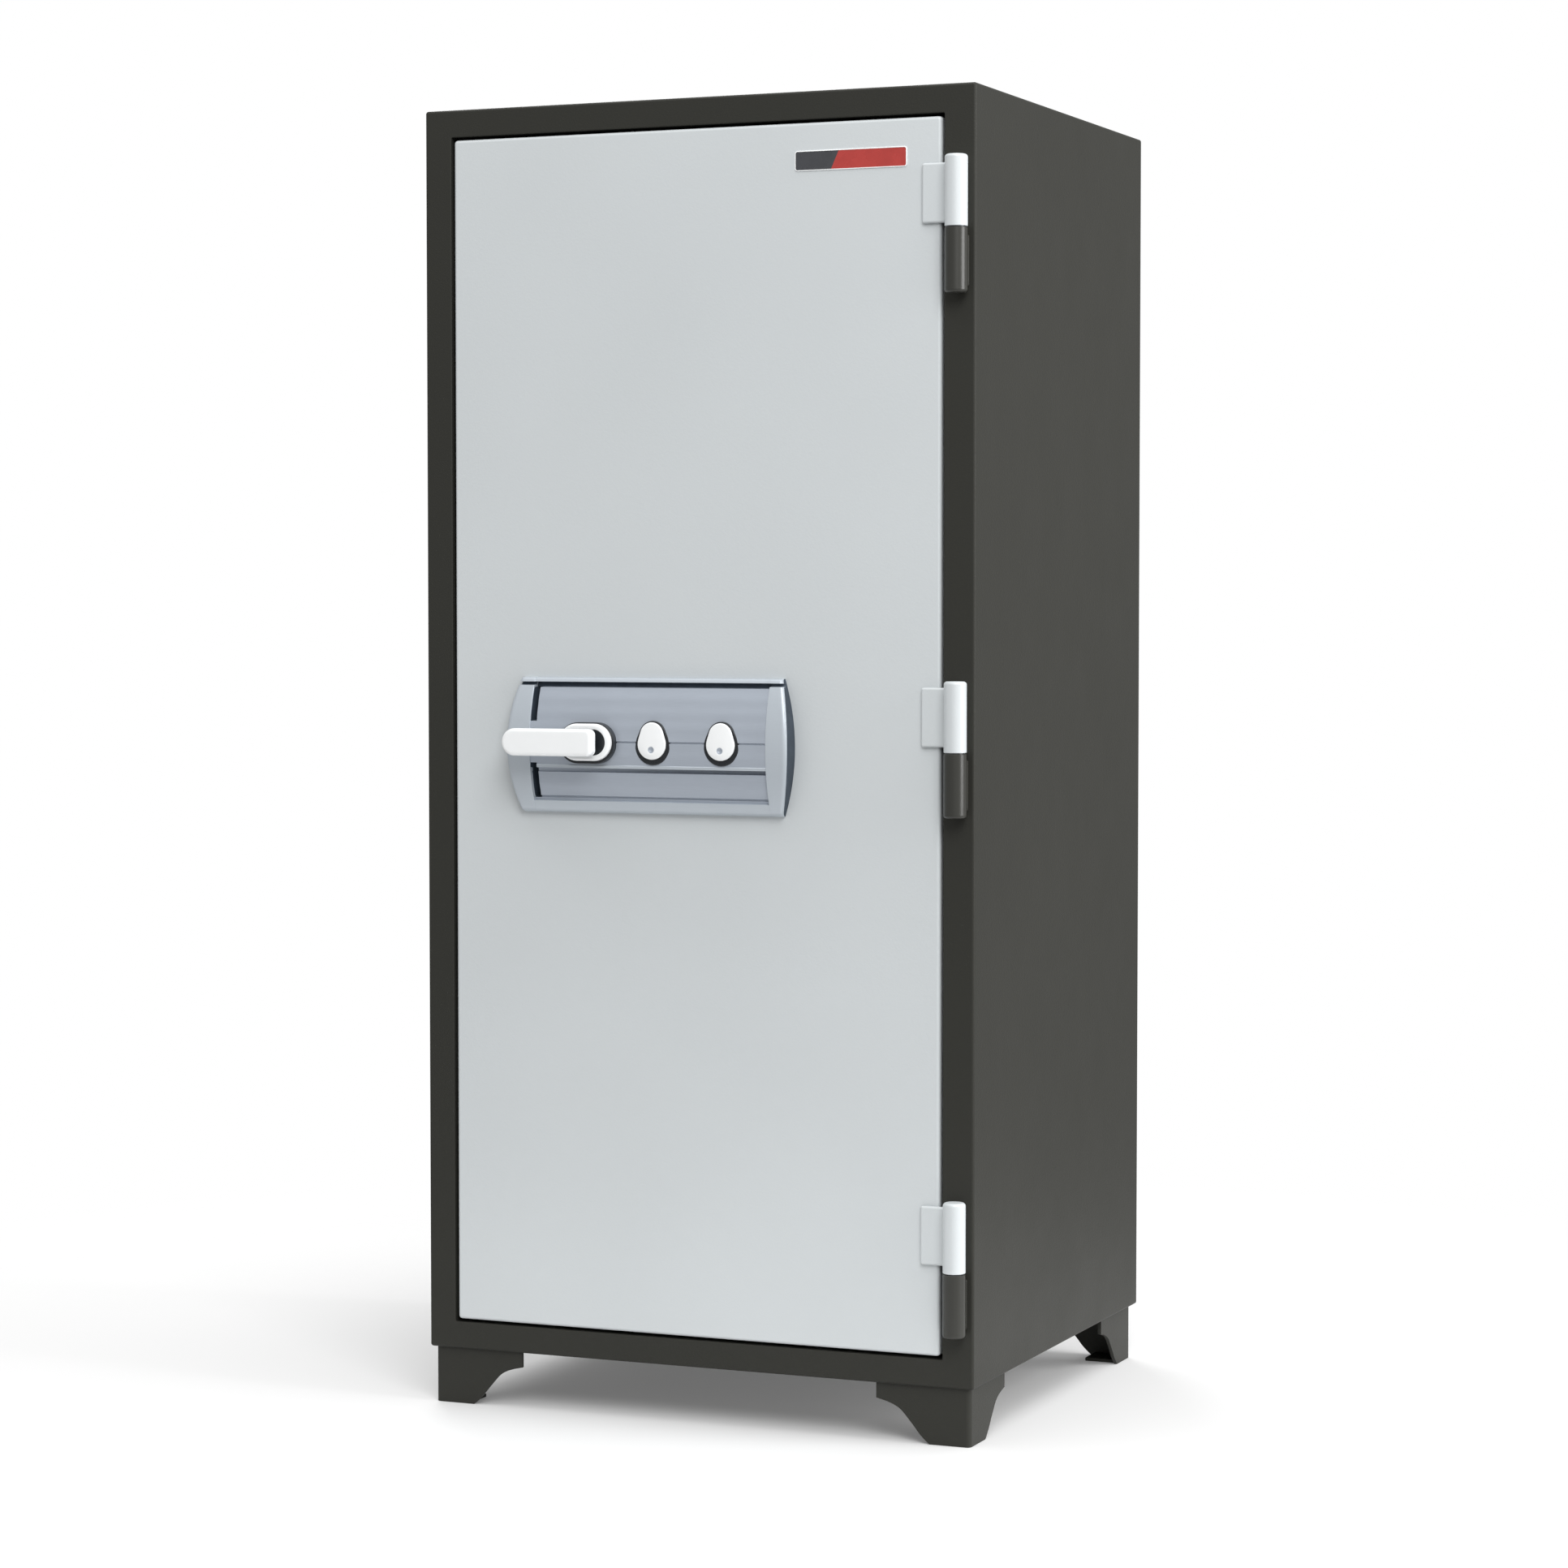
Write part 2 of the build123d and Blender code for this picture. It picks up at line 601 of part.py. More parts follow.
def make_dog_bolts():
    """Fixed bolts on the hinge side, which hold that edge when the door is shut."""
    bolts = []
    for z in BOLT_HEIGHTS:
        bolt = cross_rod(BOLT_DEPTH, z, PLUG_RIGHT - DOG_ROOT, PLUG_RIGHT + DOG_REACH, DOG_RADIUS)
        bolts.append(chamfer(bolt.edges().sort_by(Axis.X)[-1], BOLT_CHAMFER))
    return bolts


def make_bolt_bushes():
    """Flanged bushes in the plug's latch side, which guide the locking bolts."""
    bushes = []
    inner = PLUG_LEFT + BUSH_LENGTH
    flange = (PLUG_LEFT + PLUG_SHEET, PLUG_LEFT + PLUG_SHEET + BUSH_FLANGE_THICKNESS)
    for z in BOLT_HEIGHTS:
        bush = cross_rod(BOLT_DEPTH, z, PLUG_LEFT, inner, BOLT_RADIUS + BUSH_WALL)
        bush += cross_rod(BOLT_DEPTH, z, *flange, BOLT_RADIUS + BUSH_FLANGE)
        bushes.append(bush - cross_rod(BOLT_DEPTH, z, PLUG_LEFT - 1, inner + 1, BOLT_RADIUS + FIT))
    return bushes


def make_mechanism_plate():
    """Plate that closes the insulation and carries the locks and the boltwork."""
    carrier = slab(grown(PLUG, -PLUG_SHEET), MECHANISM_DEPTH, MECHANISM_DEPTH + SHEET)
    carrier -= rod(SPINDLE_X, LOCK_Z, MECHANISM_DEPTH - 1, MECHANISM_DEPTH + 3, SPINDLE_RADIUS + FIT)
    for x in KEY_X.values():
        carrier -= rod(x, LOCK_Z, MECHANISM_DEPTH - 1, MECHANISM_DEPTH + 3, KEY_TUBE_RADIUS + FIT)
    return carrier


def make_inner_cover():
    cover = slab(PLUG, PLUG_DEPTH - PLUG_SHEET, PLUG_DEPTH)
    for x, z in cover_screw_places():
        cover -= rod(x, z, PLUG_DEPTH - 4, PLUG_DEPTH + 1, COVER_SCREW_RADIUS)
    return cover


def make_cover_screws():
    screws = []
    for x, z in cover_screw_places():
        head = rod(x, z, PLUG_DEPTH, PLUG_DEPTH + COVER_SCREW_HEAD, COVER_SCREW_HEAD_RADIUS)
        head = fillet(head.edges().sort_by(Axis.Y)[-1], COVER_SCREW_HEAD - 1)
        screws.append(head + rod(x, z, PLUG_DEPTH - COVER_SCREW_LENGTH, PLUG_DEPTH, COVER_SCREW_RADIUS))
    return screws


def make_guide_studs():
    """Shouldered studs on the carrier plate that keep the bolt carriage level."""
    shoulder = PLATE_DEPTHS[1] + GUIDE_PLAY
    return [
        rod(x, z, MECHANISM_DEPTH + SHEET, shoulder, GUIDE_RADIUS)
        + rod(x, z, shoulder, shoulder + GUIDE_HEAD_THICKNESS, GUIDE_RADIUS + GUIDE_HEAD)
        for x, z in GUIDE_STUDS.values()
    ]


# -------------------------------------------------------------- lock panel


def arch_depth(z):
    """How far the arched lock panel stands forward at a height from its middle."""
    return -(PANEL_EDGE_DEPTH + (PANEL_CROWN - PANEL_EDGE_DEPTH) * (1 - (z / PANEL_HALF_HEIGHT) ** 2))


def arched_bar(x0, x1, bands):
    """An arched bar between two x values; each band (low, high, proud) is one stretch of its front."""
    outline = []
    corner = (0, bands[0][0])
    for low, high, proud in bands:
        middle = (low + high) / 2
        start = (arch_depth(low) - proud, low)
        end = (arch_depth(high) - proud, high)
        outline.append(Line(corner, start))
        outline.append(ThreePointArc(start, (arch_depth(middle) - proud, middle), end))
        corner = end
    outline.append(Polyline(corner, (0, bands[-1][1]), (0, bands[0][0])))
    profile = make_face([edge for curve in outline for edge in curve.edges()])
    side_view = Plane(origin=(x0, FRONT, PANEL_Z), x_dir=(0, 1, 0), z_dir=(1, 0, 0))
    return extrude(side_view * profile, amount=x1 - x0)


def rose_outline():
    return slot_along_x(SPINDLE_X, LOCK_Z, ROSE_HEIGHT / 2, *ROSE_ENDS)


def make_lock_panel():
    """Arched centre of the lock panel: two rails and a field in two steps, with flat seats."""
    panel = arched_bar(CAP_LEFT_X, CAP_RIGHT_X, PANEL_BANDS)
    panel -= plate(rose_outline(), FITTING_CUT, FITTING_SEAT)
    for x in KEY_X.values():
        panel -= plate(egg(x, *ESCUTCHEON_EGG), FITTING_CUT, FITTING_SEAT)
    return drilled(panel, FITTING_CUT, 1)


def make_panel_cap(x_inner, x_corner, side):
    """End cap of the lock panel, with an end that bows outward."""
    half = PANEL_HALF_HEIGHT
    tip = x_corner + side * PANEL_END_BULGE
    near, far = sorted((x_inner, tip))
    cap = arched_bar(near, far, [(-half, half, RAIL_PROUD)])
    bow = ThreePointArc((x_corner, PANEL_Z - half), (tip, PANEL_Z), (x_corner, PANEL_Z + half))
    rest = Polyline(
        (x_corner, PANEL_Z + half),
        (x_inner, PANEL_Z + half),
        (x_inner, PANEL_Z - half),
        (x_corner, PANEL_Z - half),
    )
    return cap & plate(make_face(bow.edges() + rest.edges()), FITTING_CUT, 1)


def keyhole(x, depth0, depth1):
    """The slot that the key's blade goes through, between two depths."""
    width = (x - KEYHOLE_HALF_WIDTH, x + KEYHOLE_HALF_WIDTH)
    return block(*width, depth0, depth1, LOCK_Z - KEYHOLE_HALF_HEIGHT, LOCK_Z + KEYHOLE_HALF_HEIGHT)


def make_escutcheon(x):
    """Dark key plate with its keyhole and the blind hole for the cover's pivot."""
    key_plate = plate(egg(x, *ESCUTCHEON_EGG), ESCUTCHEON_FRONT, FITTING_SEAT)
    key_plate -= keyhole(x, FITTING_CUT, 0)
    return key_plate - rod(x, COVER_PIVOT_Z, FITTING_CUT, FITTING_SEAT - 0.5, COVER_PIVOT_RADIUS + FIT)


def make_key_cover(x):
    """Egg-shaped drop cover that hangs from a stud near its top."""
    cover = plate(egg(x, *COVER_EGG), COVER_FRONT, COVER_BACK)
    cover = fillet(cover.edges().group_by(Axis.Y)[0], COVER_RADIUS)
    return cover + rod(x, COVER_PIVOT_Z, COVER_BACK, FITTING_SEAT - 1, COVER_PIVOT_RADIUS)


def make_handle_rose():
    rose = plate(rose_outline(), ROSE_FRONT, FITTING_SEAT)
    rose = fillet(rose.edges().group_by(Axis.Y)[0], ROSE_RADIUS)
    return rose - rod(SPINDLE_X, LOCK_Z, FITTING_CUT, 0, SPINDLE_RADIUS + FIT)


def make_key_tubes():
    return [
        rod(x, LOCK_Z, FITTING_SEAT, MECHANISM_DEPTH, KEY_TUBE_RADIUS)
        - rod(x, LOCK_Z, FITTING_SEAT - 1, MECHANISM_DEPTH + 1, KEY_TUBE_RADIUS - KEY_TUBE_WALL)
        for x in KEY_X.values()
    ]


def make_badge():
    """Blank enamelled plate near the top corner of the door."""
    outline = Pos(*BADGE_CENTRE) * RectangleRounded(*BADGE_SIZE, BADGE_CORNER)
    return plate(outline, -BADGE_THICKNESS, 0)


# ---------------------------------------------------------- lever and cams


def make_lever():
    """Flat lever with one round end, on a neck that takes the spindle."""
    half = HANDLE_WIDTH / 2
    front = -HANDLE_REACH
    back = front + HANDLE_THICKNESS
    straight_x = HANDLE_LEFT + half
    bar = Pos((straight_x + HANDLE_RIGHT) / 2, LOCK_Z) * Rectangle(HANDLE_RIGHT - straight_x, HANDLE_WIDTH)
    bar = fillet(bar.vertices().group_by(Axis.X)[-1], HANDLE_CORNER)
    outline = bar + Pos(straight_x, LOCK_Z) * Circle(half)
    arm = plate(outline, front, back)
    arm = fillet(arm.edges().group_by(Axis.Y)[0], HANDLE_FRONT_RADIUS)
    arm = fillet(arm.edges().group_by(Axis.Y)[-1], HANDLE_BACK_RADIUS)
    neck = rod(SPINDLE_X, LOCK_Z, back - 1, ROSE_FRONT - NECK_GAP, NECK_RADIUS)
    return arm + neck - rod(SPINDLE_X, LOCK_Z, front + SPINDLE_SINK, 0, SPINDLE_RADIUS)


def make_spindle():
    return rod(SPINDLE_X, LOCK_Z, -HANDLE_REACH + SPINDLE_SINK, SPINDLE_END, SPINDLE_RADIUS)


def spiral_point(centre, pin_angle, start, travel, turn, offset):
    """A point beside a cam slot that pushes its pin evenly outward as the cam turns."""
    radius = start + travel * turn / QUARTER + offset
    angle = radians(pin_angle) - turn
    return (centre[0] + radius * cos(angle), centre[1] + radius * sin(angle))


def spiral_slot(centre, pin_angle, start, travel, pin_radius):
    """Outline of the slot for a quarter turn, with round ends."""
    gap = pin_radius + SLOT_FIT
    rate = travel / QUARTER
    turns = [QUARTER * step / 12 for step in range(13)]

    def beside(turn, side):
        radius = start + rate * turn
        angle = radians(pin_angle) - turn
        length = (radius ** 2 + rate ** 2) ** 0.5
        # Unit normal of the spiral, pointing outward
        across = (radius * cos(angle) - rate * sin(angle), radius * sin(angle) + rate * cos(angle))
        x = centre[0] + radius * cos(angle) + side * gap * across[0] / length
        z = centre[1] + radius * sin(angle) + side * gap * across[1] / length
        return (x, z)

    outer = Spline(*[beside(turn, 1) for turn in turns])
    inner = Spline(*[beside(turn, -1) for turn in turns])
    band = make_face(
        outer.edges()
        + inner.edges()
        + Line(beside(0, 1), beside(0, -1)).edges()
        + Line(beside(QUARTER, 1), beside(QUARTER, -1)).edges()
    )
    for turn in (0, QUARTER):
        band += Pos(*spiral_point(centre, pin_angle, start, travel, turn, 0)) * Circle(gap)
    return band


def make_bolt_cam():
    """Cam on the spindle: a quarter turn pushes the follower out by the bolt throw."""
    centre = (SPINDLE_X, LOCK_Z)
    margin = FOLLOWER_RADIUS + CAM_MARGIN
    turns = [-0.35 + (QUARTER + 0.6) * step / 8 for step in range(9)]
    rim = [spiral_point(centre, 180, FOLLOWER_START, BOLT_THROW, turn, margin) for turn in turns]
    outline = make_face(Spline(*rim).edges() + Polyline(rim[-1], centre, rim[0]).edges())
    outline += Pos(*centre) * Circle(CAM_HUB_RADIUS)
    outline -= spiral_slot(centre, 180, FOLLOWER_START, BOLT_THROW, FOLLOWER_RADIUS)
    return plate(outline, *CAM_DEPTHS) - rod(SPINDLE_X, LOCK_Z, 60, 80, SPINDLE_RADIUS)


def make_key_core(x):
    """Key barrel with its slot, and the cam disc that lifts the lock bolt."""
    low, high = KEY_CAM_DEPTHS
    core = rod(x, LOCK_Z, MECHANISM_DEPTH + KEY_CORE_GAP, low, KEY_TUBE_RADIUS)
    core += rod(x, LOCK_Z, low, high, KEY_CAM_RADIUS)
    core -= keyhole(x, MECHANISM_DEPTH, KEY_SLOT_END)
    slot = spiral_slot((x, LOCK_Z), 90, LOCK_PIN_START, LOCK_BOLT_THROW, LOCK_PIN_RADIUS)
    return core - plate(slot, low - 0.5, high + 1)


def make_lock_bolt(x):
    """Small bolt that rises out of its lock case beside a lug of the carriage."""
    pin_z = LOCK_Z + LOCK_PIN_START
    width = (x - LOCK_BOLT_HALF, x + LOCK_BOLT_HALF)
    bolt = block(*width, *LOCK_BOLT_DEPTHS, pin_z - LOCK_BOLT_TAIL, LOCK_BOLT_TOP)
    return bolt + rod(x, pin_z, LOCK_PIN_END, LOCK_BOLT_DEPTHS[0], LOCK_PIN_RADIUS)


def make_lock_case(x):
    """Closed case round a key lock, with a slot in its top for the lock bolt."""
    case = block(x - CASE_HALF, x + CASE_HALF, *CASE_DEPTHS, *CASE_Z)
    wall = PLUG_SHEET
    case -= block(
        x - CASE_HALF + wall,
        x + CASE_HALF - wall,
        CASE_DEPTHS[0] + wall,
        CASE_DEPTHS[1] - wall,
        CASE_Z[0] + wall,
        CASE_Z[1] - wall,
    )
    case -= rod(x, LOCK_Z, CASE_DEPTHS[0] - 1, CASE_DEPTHS[0] + 2, KEY_TUBE_RADIUS + FIT)
    gap = LOCK_BOLT_HALF + SLOT_FIT
    low, high = LOCK_BOLT_DEPTHS
    return case - block(x - gap, x + gap, low - SLOT_FIT, high + SLOT_FIT, CASE_Z[1] - 3, CASE_Z[1] + 1)


def guide_slot(name):
    """The slot in the carriage for one guide stud, long enough for the bolt throw."""
    x, z = GUIDE_STUDS[name]
    outline = slot_along_x(x, z, GUIDE_RADIUS + SLOT_FIT, x - 1, x + BOLT_THROW + 1)
    return plate(outline, PLATE_DEPTHS[0] - 1, PLATE_DEPTHS[1] + 1)


def make_bolt_carriage():
    """Bolt bar, two guide plates, the follower's plate, the arm and a lug for each lock."""
    bar_right = BOLT_BAR_X + BOLT_BAR_WIDTH
    bar_z = (BOLT_HEIGHTS[0] - BOLT_BAR_OVERHANG, BOLT_HEIGHTS[-1] + BOLT_BAR_OVERHANG)
    pieces = [block(BOLT_BAR_X, bar_right, *BOLT_BAR_DEPTHS, *bar_z)]
    for name in ("low", "high"):
        x, z = GUIDE_STUDS[name]
        height = (z - GUIDE_PLATE_HALF, z + GUIDE_PLATE_HALF)
        guide = block(bar_right, x + GUIDE_PLATE_REACH, *PLATE_DEPTHS, *height)
        pieces.append(guide - guide_slot(name))
    height = (LOCK_Z - FOLLOWER_PLATE_HALF, LOCK_Z + FOLLOWER_PLATE_HALF)
    carrier = block(bar_right, SPINDLE_X - CAM_HUB_RADIUS, *PLATE_DEPTHS, *height)
    pin_x = SPINDLE_X - FOLLOWER_START
    pieces.append(carrier + rod(pin_x, LOCK_Z, FOLLOWER_END, PLATE_DEPTHS[0], FOLLOWER_RADIUS))
    arm = block(bar_right, KEY_X["right"] + ARM_OVERHANG, *PLATE_DEPTHS, *ARM_Z)
    pieces.append(arm - guide_slot("arm"))
    for x in KEY_X.values():
        left = x + LOCK_BOLT_HALF + LUG_CLEARANCE
        pieces.append(block(left, left + LUG_WIDTH, *PLATE_DEPTHS, CASE_Z[1] + 3, ARM_Z[0]))
    return pieces


def make_locking_bolts():
    bolts = []
    for z in BOLT_HEIGHTS:
        bolt = cross_rod(BOLT_DEPTH, z, BOLT_TIP_X, BOLT_BAR_X, BOLT_RADIUS)
        bolts.append(chamfer(bolt.edges().sort_by(Axis.X)[0], BOLT_CHAMFER))
    return bolts


# ------------------------------------------------------------------ nodes


def make_nodes():
    """Every piece by name; a list stands for several separate like pieces."""
    feet, foot_screws = make_feet()
    nodes = {
        "outer_casing": make_outer_casing(),
        "back_panel": make_back_panel(),
        "base_plate": make_base_plate(),
        "front_frame": make_front_frame(),
        "inner_liner": make_inner_liner(),
        "strike_channels": make_strike_channels(),
        "insulation_left": make_side_insulation(-1, LATCH_POCKET),
        "insulation_right": make_side_insulation(1, HINGE_POCKET),
        "insulation_top": make_end_insulation(True),
        "insulation_bottom": make_end_insulation(False),
        "insulation_back": make_back_insulation(),
        "door_seal": make_door_seal(),
        "foot_screws": foot_screws,
        "shelf_uprights": make_shelf_uprights(),
        "shelf_clips": make_shelf_clips(),
        "hinge_pins": make_hinge_pins(),
        "hinge_washers": make_hinge_washers(),
        "door_front": make_door_front(),
        "door_insulation": make_door_insulation(),
        "door_plug_casing": make_door_plug_casing(),
        "mechanism_plate": make_mechanism_plate(),
        "door_inner_cover": make_inner_cover(),
        "inner_cover_screws": make_cover_screws(),
        "dog_bolts": make_dog_bolts(),
        "bolt_bushes": make_bolt_bushes(),
        "guide_studs": make_guide_studs(),
        "lock_panel": make_lock_panel(),
        "lock_panel_cap_left": make_panel_cap(CAP_LEFT_X, PANEL_LEFT, -1),
        "lock_panel_cap_right": make_panel_cap(CAP_RIGHT_X, PANEL_RIGHT, 1),
        "handle_rose": make_handle_rose(),
        "key_tubes": make_key_tubes(),
        "badge_plate": make_badge(),
        "lever_handle": make_lever(),
        "handle_spindle": make_spindle(),
        "bolt_cam": make_bolt_cam(),
        "bolt_carriage": make_bolt_carriage(),
        "locking_bolts": make_locking_bolts(),
    }
    nodes.update(feet)
    for number in range(1, SHELF_COUNT + 1):
        nodes[f"shelf_{number}"] = make_shelf(number)
    for place, z in HINGE_JOINTS.items():
        nodes[f"hinge_cabinet_{place}"] = make_cabinet_knuckle(z)
        nodes[f"hinge_door_{place}"] = make_door_knuckle(z)
    for place, x in KEY_X.items():
        nodes[f"key_escutcheon_{place}"] = make_escutcheon(x)
        nodes[f"key_cover_{place}"] = make_key_cover(x)
        nodes[f"key_core_{place}"] = make_key_core(x)
        nodes[f"lock_bolt_{place}"] = make_lock_bolt(x)
        nodes[f"lock_case_{place}"] = make_lock_case(x)
    return nodes


os.makedirs("parts", exist_ok=True)
for name, piece in make_nodes().items():
    if isinstance(piece, list):
        piece = Compound(children=piece)
    export_step(piece, f"parts/{name}.step")
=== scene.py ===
import math

import bmesh
import bpy
from bpy.props import FloatProperty, FloatVectorProperty, IntProperty, PointerProperty
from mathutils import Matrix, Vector


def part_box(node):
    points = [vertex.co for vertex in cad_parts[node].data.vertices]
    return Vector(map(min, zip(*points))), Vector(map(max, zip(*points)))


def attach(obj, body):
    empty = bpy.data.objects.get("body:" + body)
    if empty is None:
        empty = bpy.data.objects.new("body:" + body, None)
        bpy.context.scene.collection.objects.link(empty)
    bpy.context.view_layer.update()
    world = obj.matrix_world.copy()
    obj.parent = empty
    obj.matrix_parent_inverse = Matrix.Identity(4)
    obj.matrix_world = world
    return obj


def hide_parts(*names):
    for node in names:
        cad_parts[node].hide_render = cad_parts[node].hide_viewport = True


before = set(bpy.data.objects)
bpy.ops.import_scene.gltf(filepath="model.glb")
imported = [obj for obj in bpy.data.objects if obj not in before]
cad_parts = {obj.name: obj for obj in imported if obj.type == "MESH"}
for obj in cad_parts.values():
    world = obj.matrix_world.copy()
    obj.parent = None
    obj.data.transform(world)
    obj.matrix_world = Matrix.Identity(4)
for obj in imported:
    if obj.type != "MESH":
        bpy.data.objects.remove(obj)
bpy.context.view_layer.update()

bl_info = {
    "name": "Document Cabinet Dresser",
    "version": (1, 0, 0),
    "blender": (4, 5, 0),
    "location": "3D View > Sidebar > Cabinet",
    "description": "Builds the finished pieces and finishes of a fire-resistant document cabinet",
    "category": "Object",
}

MM = 0.001
FRONT = -1
BACK = 1


def node_box(name):
    """Lowest and highest corner of a fixed node, as two plain tuples."""
    low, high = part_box(name)
    return tuple(low), tuple(high)


BODY_LOW, BODY_HIGH = node_box("outer_casing")
DOOR_LOW, DOOR_HIGH = node_box("door_front")
JAMB_LOW, JAMB_HIGH = node_box("front_frame")
FACE_Y = DOOR_LOW[1]
SHEET = 2 * MM
WINDOW_LOW = (JAMB_LOW[0] + SHEET, JAMB_LOW[2] + SHEET)
WINDOW_HIGH = (JAMB_HIGH[0] - SHEET, JAMB_HIGH[2] - SHEET)


# ------------------------------------------------------------ mesh building


def quarter_round(radius, steps):
    """Pairs (inset, rise) that round an edge over a quarter circle, from side to front."""
    turns = [math.pi / 2 * step / steps for step in range(steps + 1)]
    return [(radius * (1 - math.cos(t)), radius * math.sin(t)) for t in turns]


def loft(bm, rings, closed_ends=True, joined=False, slot_index=0):
    """Skins a row of rings of points; a ring of one point is a pole."""
    made = [[bm.verts.new(point) for point in ring] for ring in rings]
    pairs = list(zip(made, made[1:]))
    if joined:
        pairs.append((made[-1], made[0]))
    for first, second in pairs:
        count = max(len(first), len(second))
        for i in range(count):
            j = (i + 1) % count
            if len(first) == 1:
                corners = [first[0], second[j], second[i]]
            elif len(second) == 1:
                corners = [first[i], first[j], second[0]]
            else:
                corners = [first[i], first[j], second[j], second[i]]
            bm.faces.new(corners).material_index = slot_index
    if closed_ends and not joined:
        for ring in (made[0], made[-1]):
            if len(ring) > 2:
                bm.faces.new(ring).material_index = slot_index


def lathe(bm, centre, axis, profile, steps=48, slot_index=0):
    """Turns a profile of (radius, along) about an axis through a centre."""
    rings = []
    for radius, along in profile:
        count = 1 if radius <= 1e-9 else steps
        ring = []
        for step in range(count):
            turn = 2 * math.pi * step / steps
            a = radius * math.cos(turn)
            b = radius * math.sin(turn)
            offset = {"X": (along, a, b), "Y": (a, along, b), "Z": (a, b, along)}[axis]
            ring.append(Vector(centre) + Vector(offset))
        rings.append(ring)
    loft(bm, rings, slot_index=slot_index)


def soft_block(bm, low, high, edge, segments=3, slot_index=0):
    """A block with rounded edges, added to a mesh."""
    size = Vector(high) - Vector(low)
    cube = bmesh.ops.create_cube(bm, size=1.0)
    for vert in cube["verts"]:
        vert.co = Vector(low) + Vector((vert.co[i] + 0.5) * size[i] for i in range(3))
    faces = list(dict.fromkeys(face for vert in cube["verts"] for face in vert.link_faces))
    edges = list(dict.fromkeys(side for face in faces for side in face.edges))
    for face in faces:
        face.material_index = slot_index
    bmesh.ops.bevel(bm, geom=edges, offset=edge, segments=segments, profile=0.5, affect="EDGES")


def rectangle_loop(x0, x1, z0, z1, radius, y, corner_steps=5):
    """A front-view rectangle with round corners, as one loop of points at depth y."""
    points = []
    corners = [(x1, z0, -90), (x1, z1, 0), (x0, z1, 90), (x0, z0, 180)]
    for x, z, start in corners:
        centre_x = x - radius if x == x1 else x + radius
        centre_z = z - radius if z == z1 else z + radius
        for step in range(corner_steps + 1):
            turn = math.radians(start + 90 * step / corner_steps)
            points.append(
                (centre_x + radius * math.cos(turn), y, centre_z + radius * math.sin(turn))
            )
    return points


def inset_rectangle(rectangle, inset, radius, y):
    """A rectangle loop moved in by an inset, with its corner radius shrunk to suit."""
    x0, x1, z0, z1 = rectangle
    least = 0.3 * MM
    corner = max(radius - inset, least)
    return rectangle_loop(x0 + inset, x1 - inset, z0 + inset, z1 - inset, corner, y)


def rolled_rings(rectangle, corner, edge, face, steps, facing=FRONT):
    """Rings that carry a rectangle from its sides over a rounded edge to its face, front or back."""
    return [
        inset_rectangle(rectangle, inset, corner, face - facing * (edge - rise))
        for inset, rise in quarter_round(edge, steps)
    ]


def pressed_rings(rectangle, margin, slope, corner, face, depth):
    """Rings of a shallow pressing, which eases forward from a back face inside a margin."""
    rings = []
    for share in (0, 0.15, 0.5, 0.85, 1):
        ease = share * share * (3 - 2 * share)
        rings.append(inset_rectangle(rectangle, margin + slope * share, corner, face - depth * ease))
    return rings


def stadium_outline(x, z, half_length, radius, inset, y, steps=20):
    """A long outline with two round ends."""
    points = []
    for side, start in ((1, -90), (-1, 90)):
        for step in range(steps + 1):
            turn = math.radians(start + 180 * step / steps)
            points.append((
                x + side * half_length + (radius - inset) * math.cos(turn),
                y,
                z + (radius - inset) * math.sin(turn),
            ))
    return points


def egg_outline(x, low_z, low_radius, high_z, high_radius, inset, y, steps=22):
    """Two circles, one above the other, joined by their tangents."""
    lean = math.asin((low_radius - high_radius) / (high_z - low_z))
    points = []
    for centre_z, radius, start, end in (
        (high_z, high_radius, lean, math.pi - lean),
        (low_z, low_radius, math.pi - lean, 2 * math.pi + lean),
    ):
        for step in range(steps + 1):
            turn = start + (end - start) * step / steps
            points.append((
                x + (radius - inset) * math.cos(turn), y, centre_z + (radius - inset) * math.sin(turn)
            ))
    return points


def soft_plate(bm, outline, back, front, edge, slot_index=0):
    """A front-facing plate with a rounded front edge."""
    rings = [outline(0, back), outline(0, front + edge)]
    rings += [outline(inset, front + edge - rise) for inset, rise in quarter_round(edge, 5)[1:]]
    loft(bm, rings, slot_index=slot_index)


def finish_piece(name, bm, body, finishes, nodes, smooth=32):
    """Turns a mesh under construction into a named piece, which rides on a body and stands for nodes."""
    bmesh.ops.recalc_face_normals(bm, faces=bm.faces[:])
    mesh = bpy.data.meshes.new(name)
    bm.to_mesh(mesh)
    bm.free()
    for finish in finishes:
        mesh.materials.append(finish_named(finish) if isinstance(finish, str) else finish)
    mesh.shade_smooth()
    mesh.set_sharp_from_angle(angle=math.radians(smooth))
    piece = bpy.data.objects.new(name, mesh)
    bpy.context.scene.collection.objects.link(piece)
    weighted = piece.modifiers.new("even_faces", "WEIGHTED_NORMAL")
    weighted.keep_sharp = True
    weighted.weight = 100
    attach(piece, body)
    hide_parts(*nodes)


def dress_node(name, finish):
    """Gives a fixed node its finish, in place of the plain one it came with."""
    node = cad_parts[name]
    node.data.materials.clear()
    node.data.materials.append(finish_named(finish))


# ---------------------------------------------------------------- materials


def noise(tree, source, scale, detail=3.0, roughness=0.5):
    """A noise texture at a scale in features per metre."""
    texture = tree.nodes.new("ShaderNodeTexNoise")
    texture.inputs["Scale"].default_value = scale
    texture.inputs["Detail"].default_value = detail
    texture.inputs["Roughness"].default_value = roughness
    tree.links.new(source, texture.inputs["Vector"])
    return texture.outputs["Fac"]


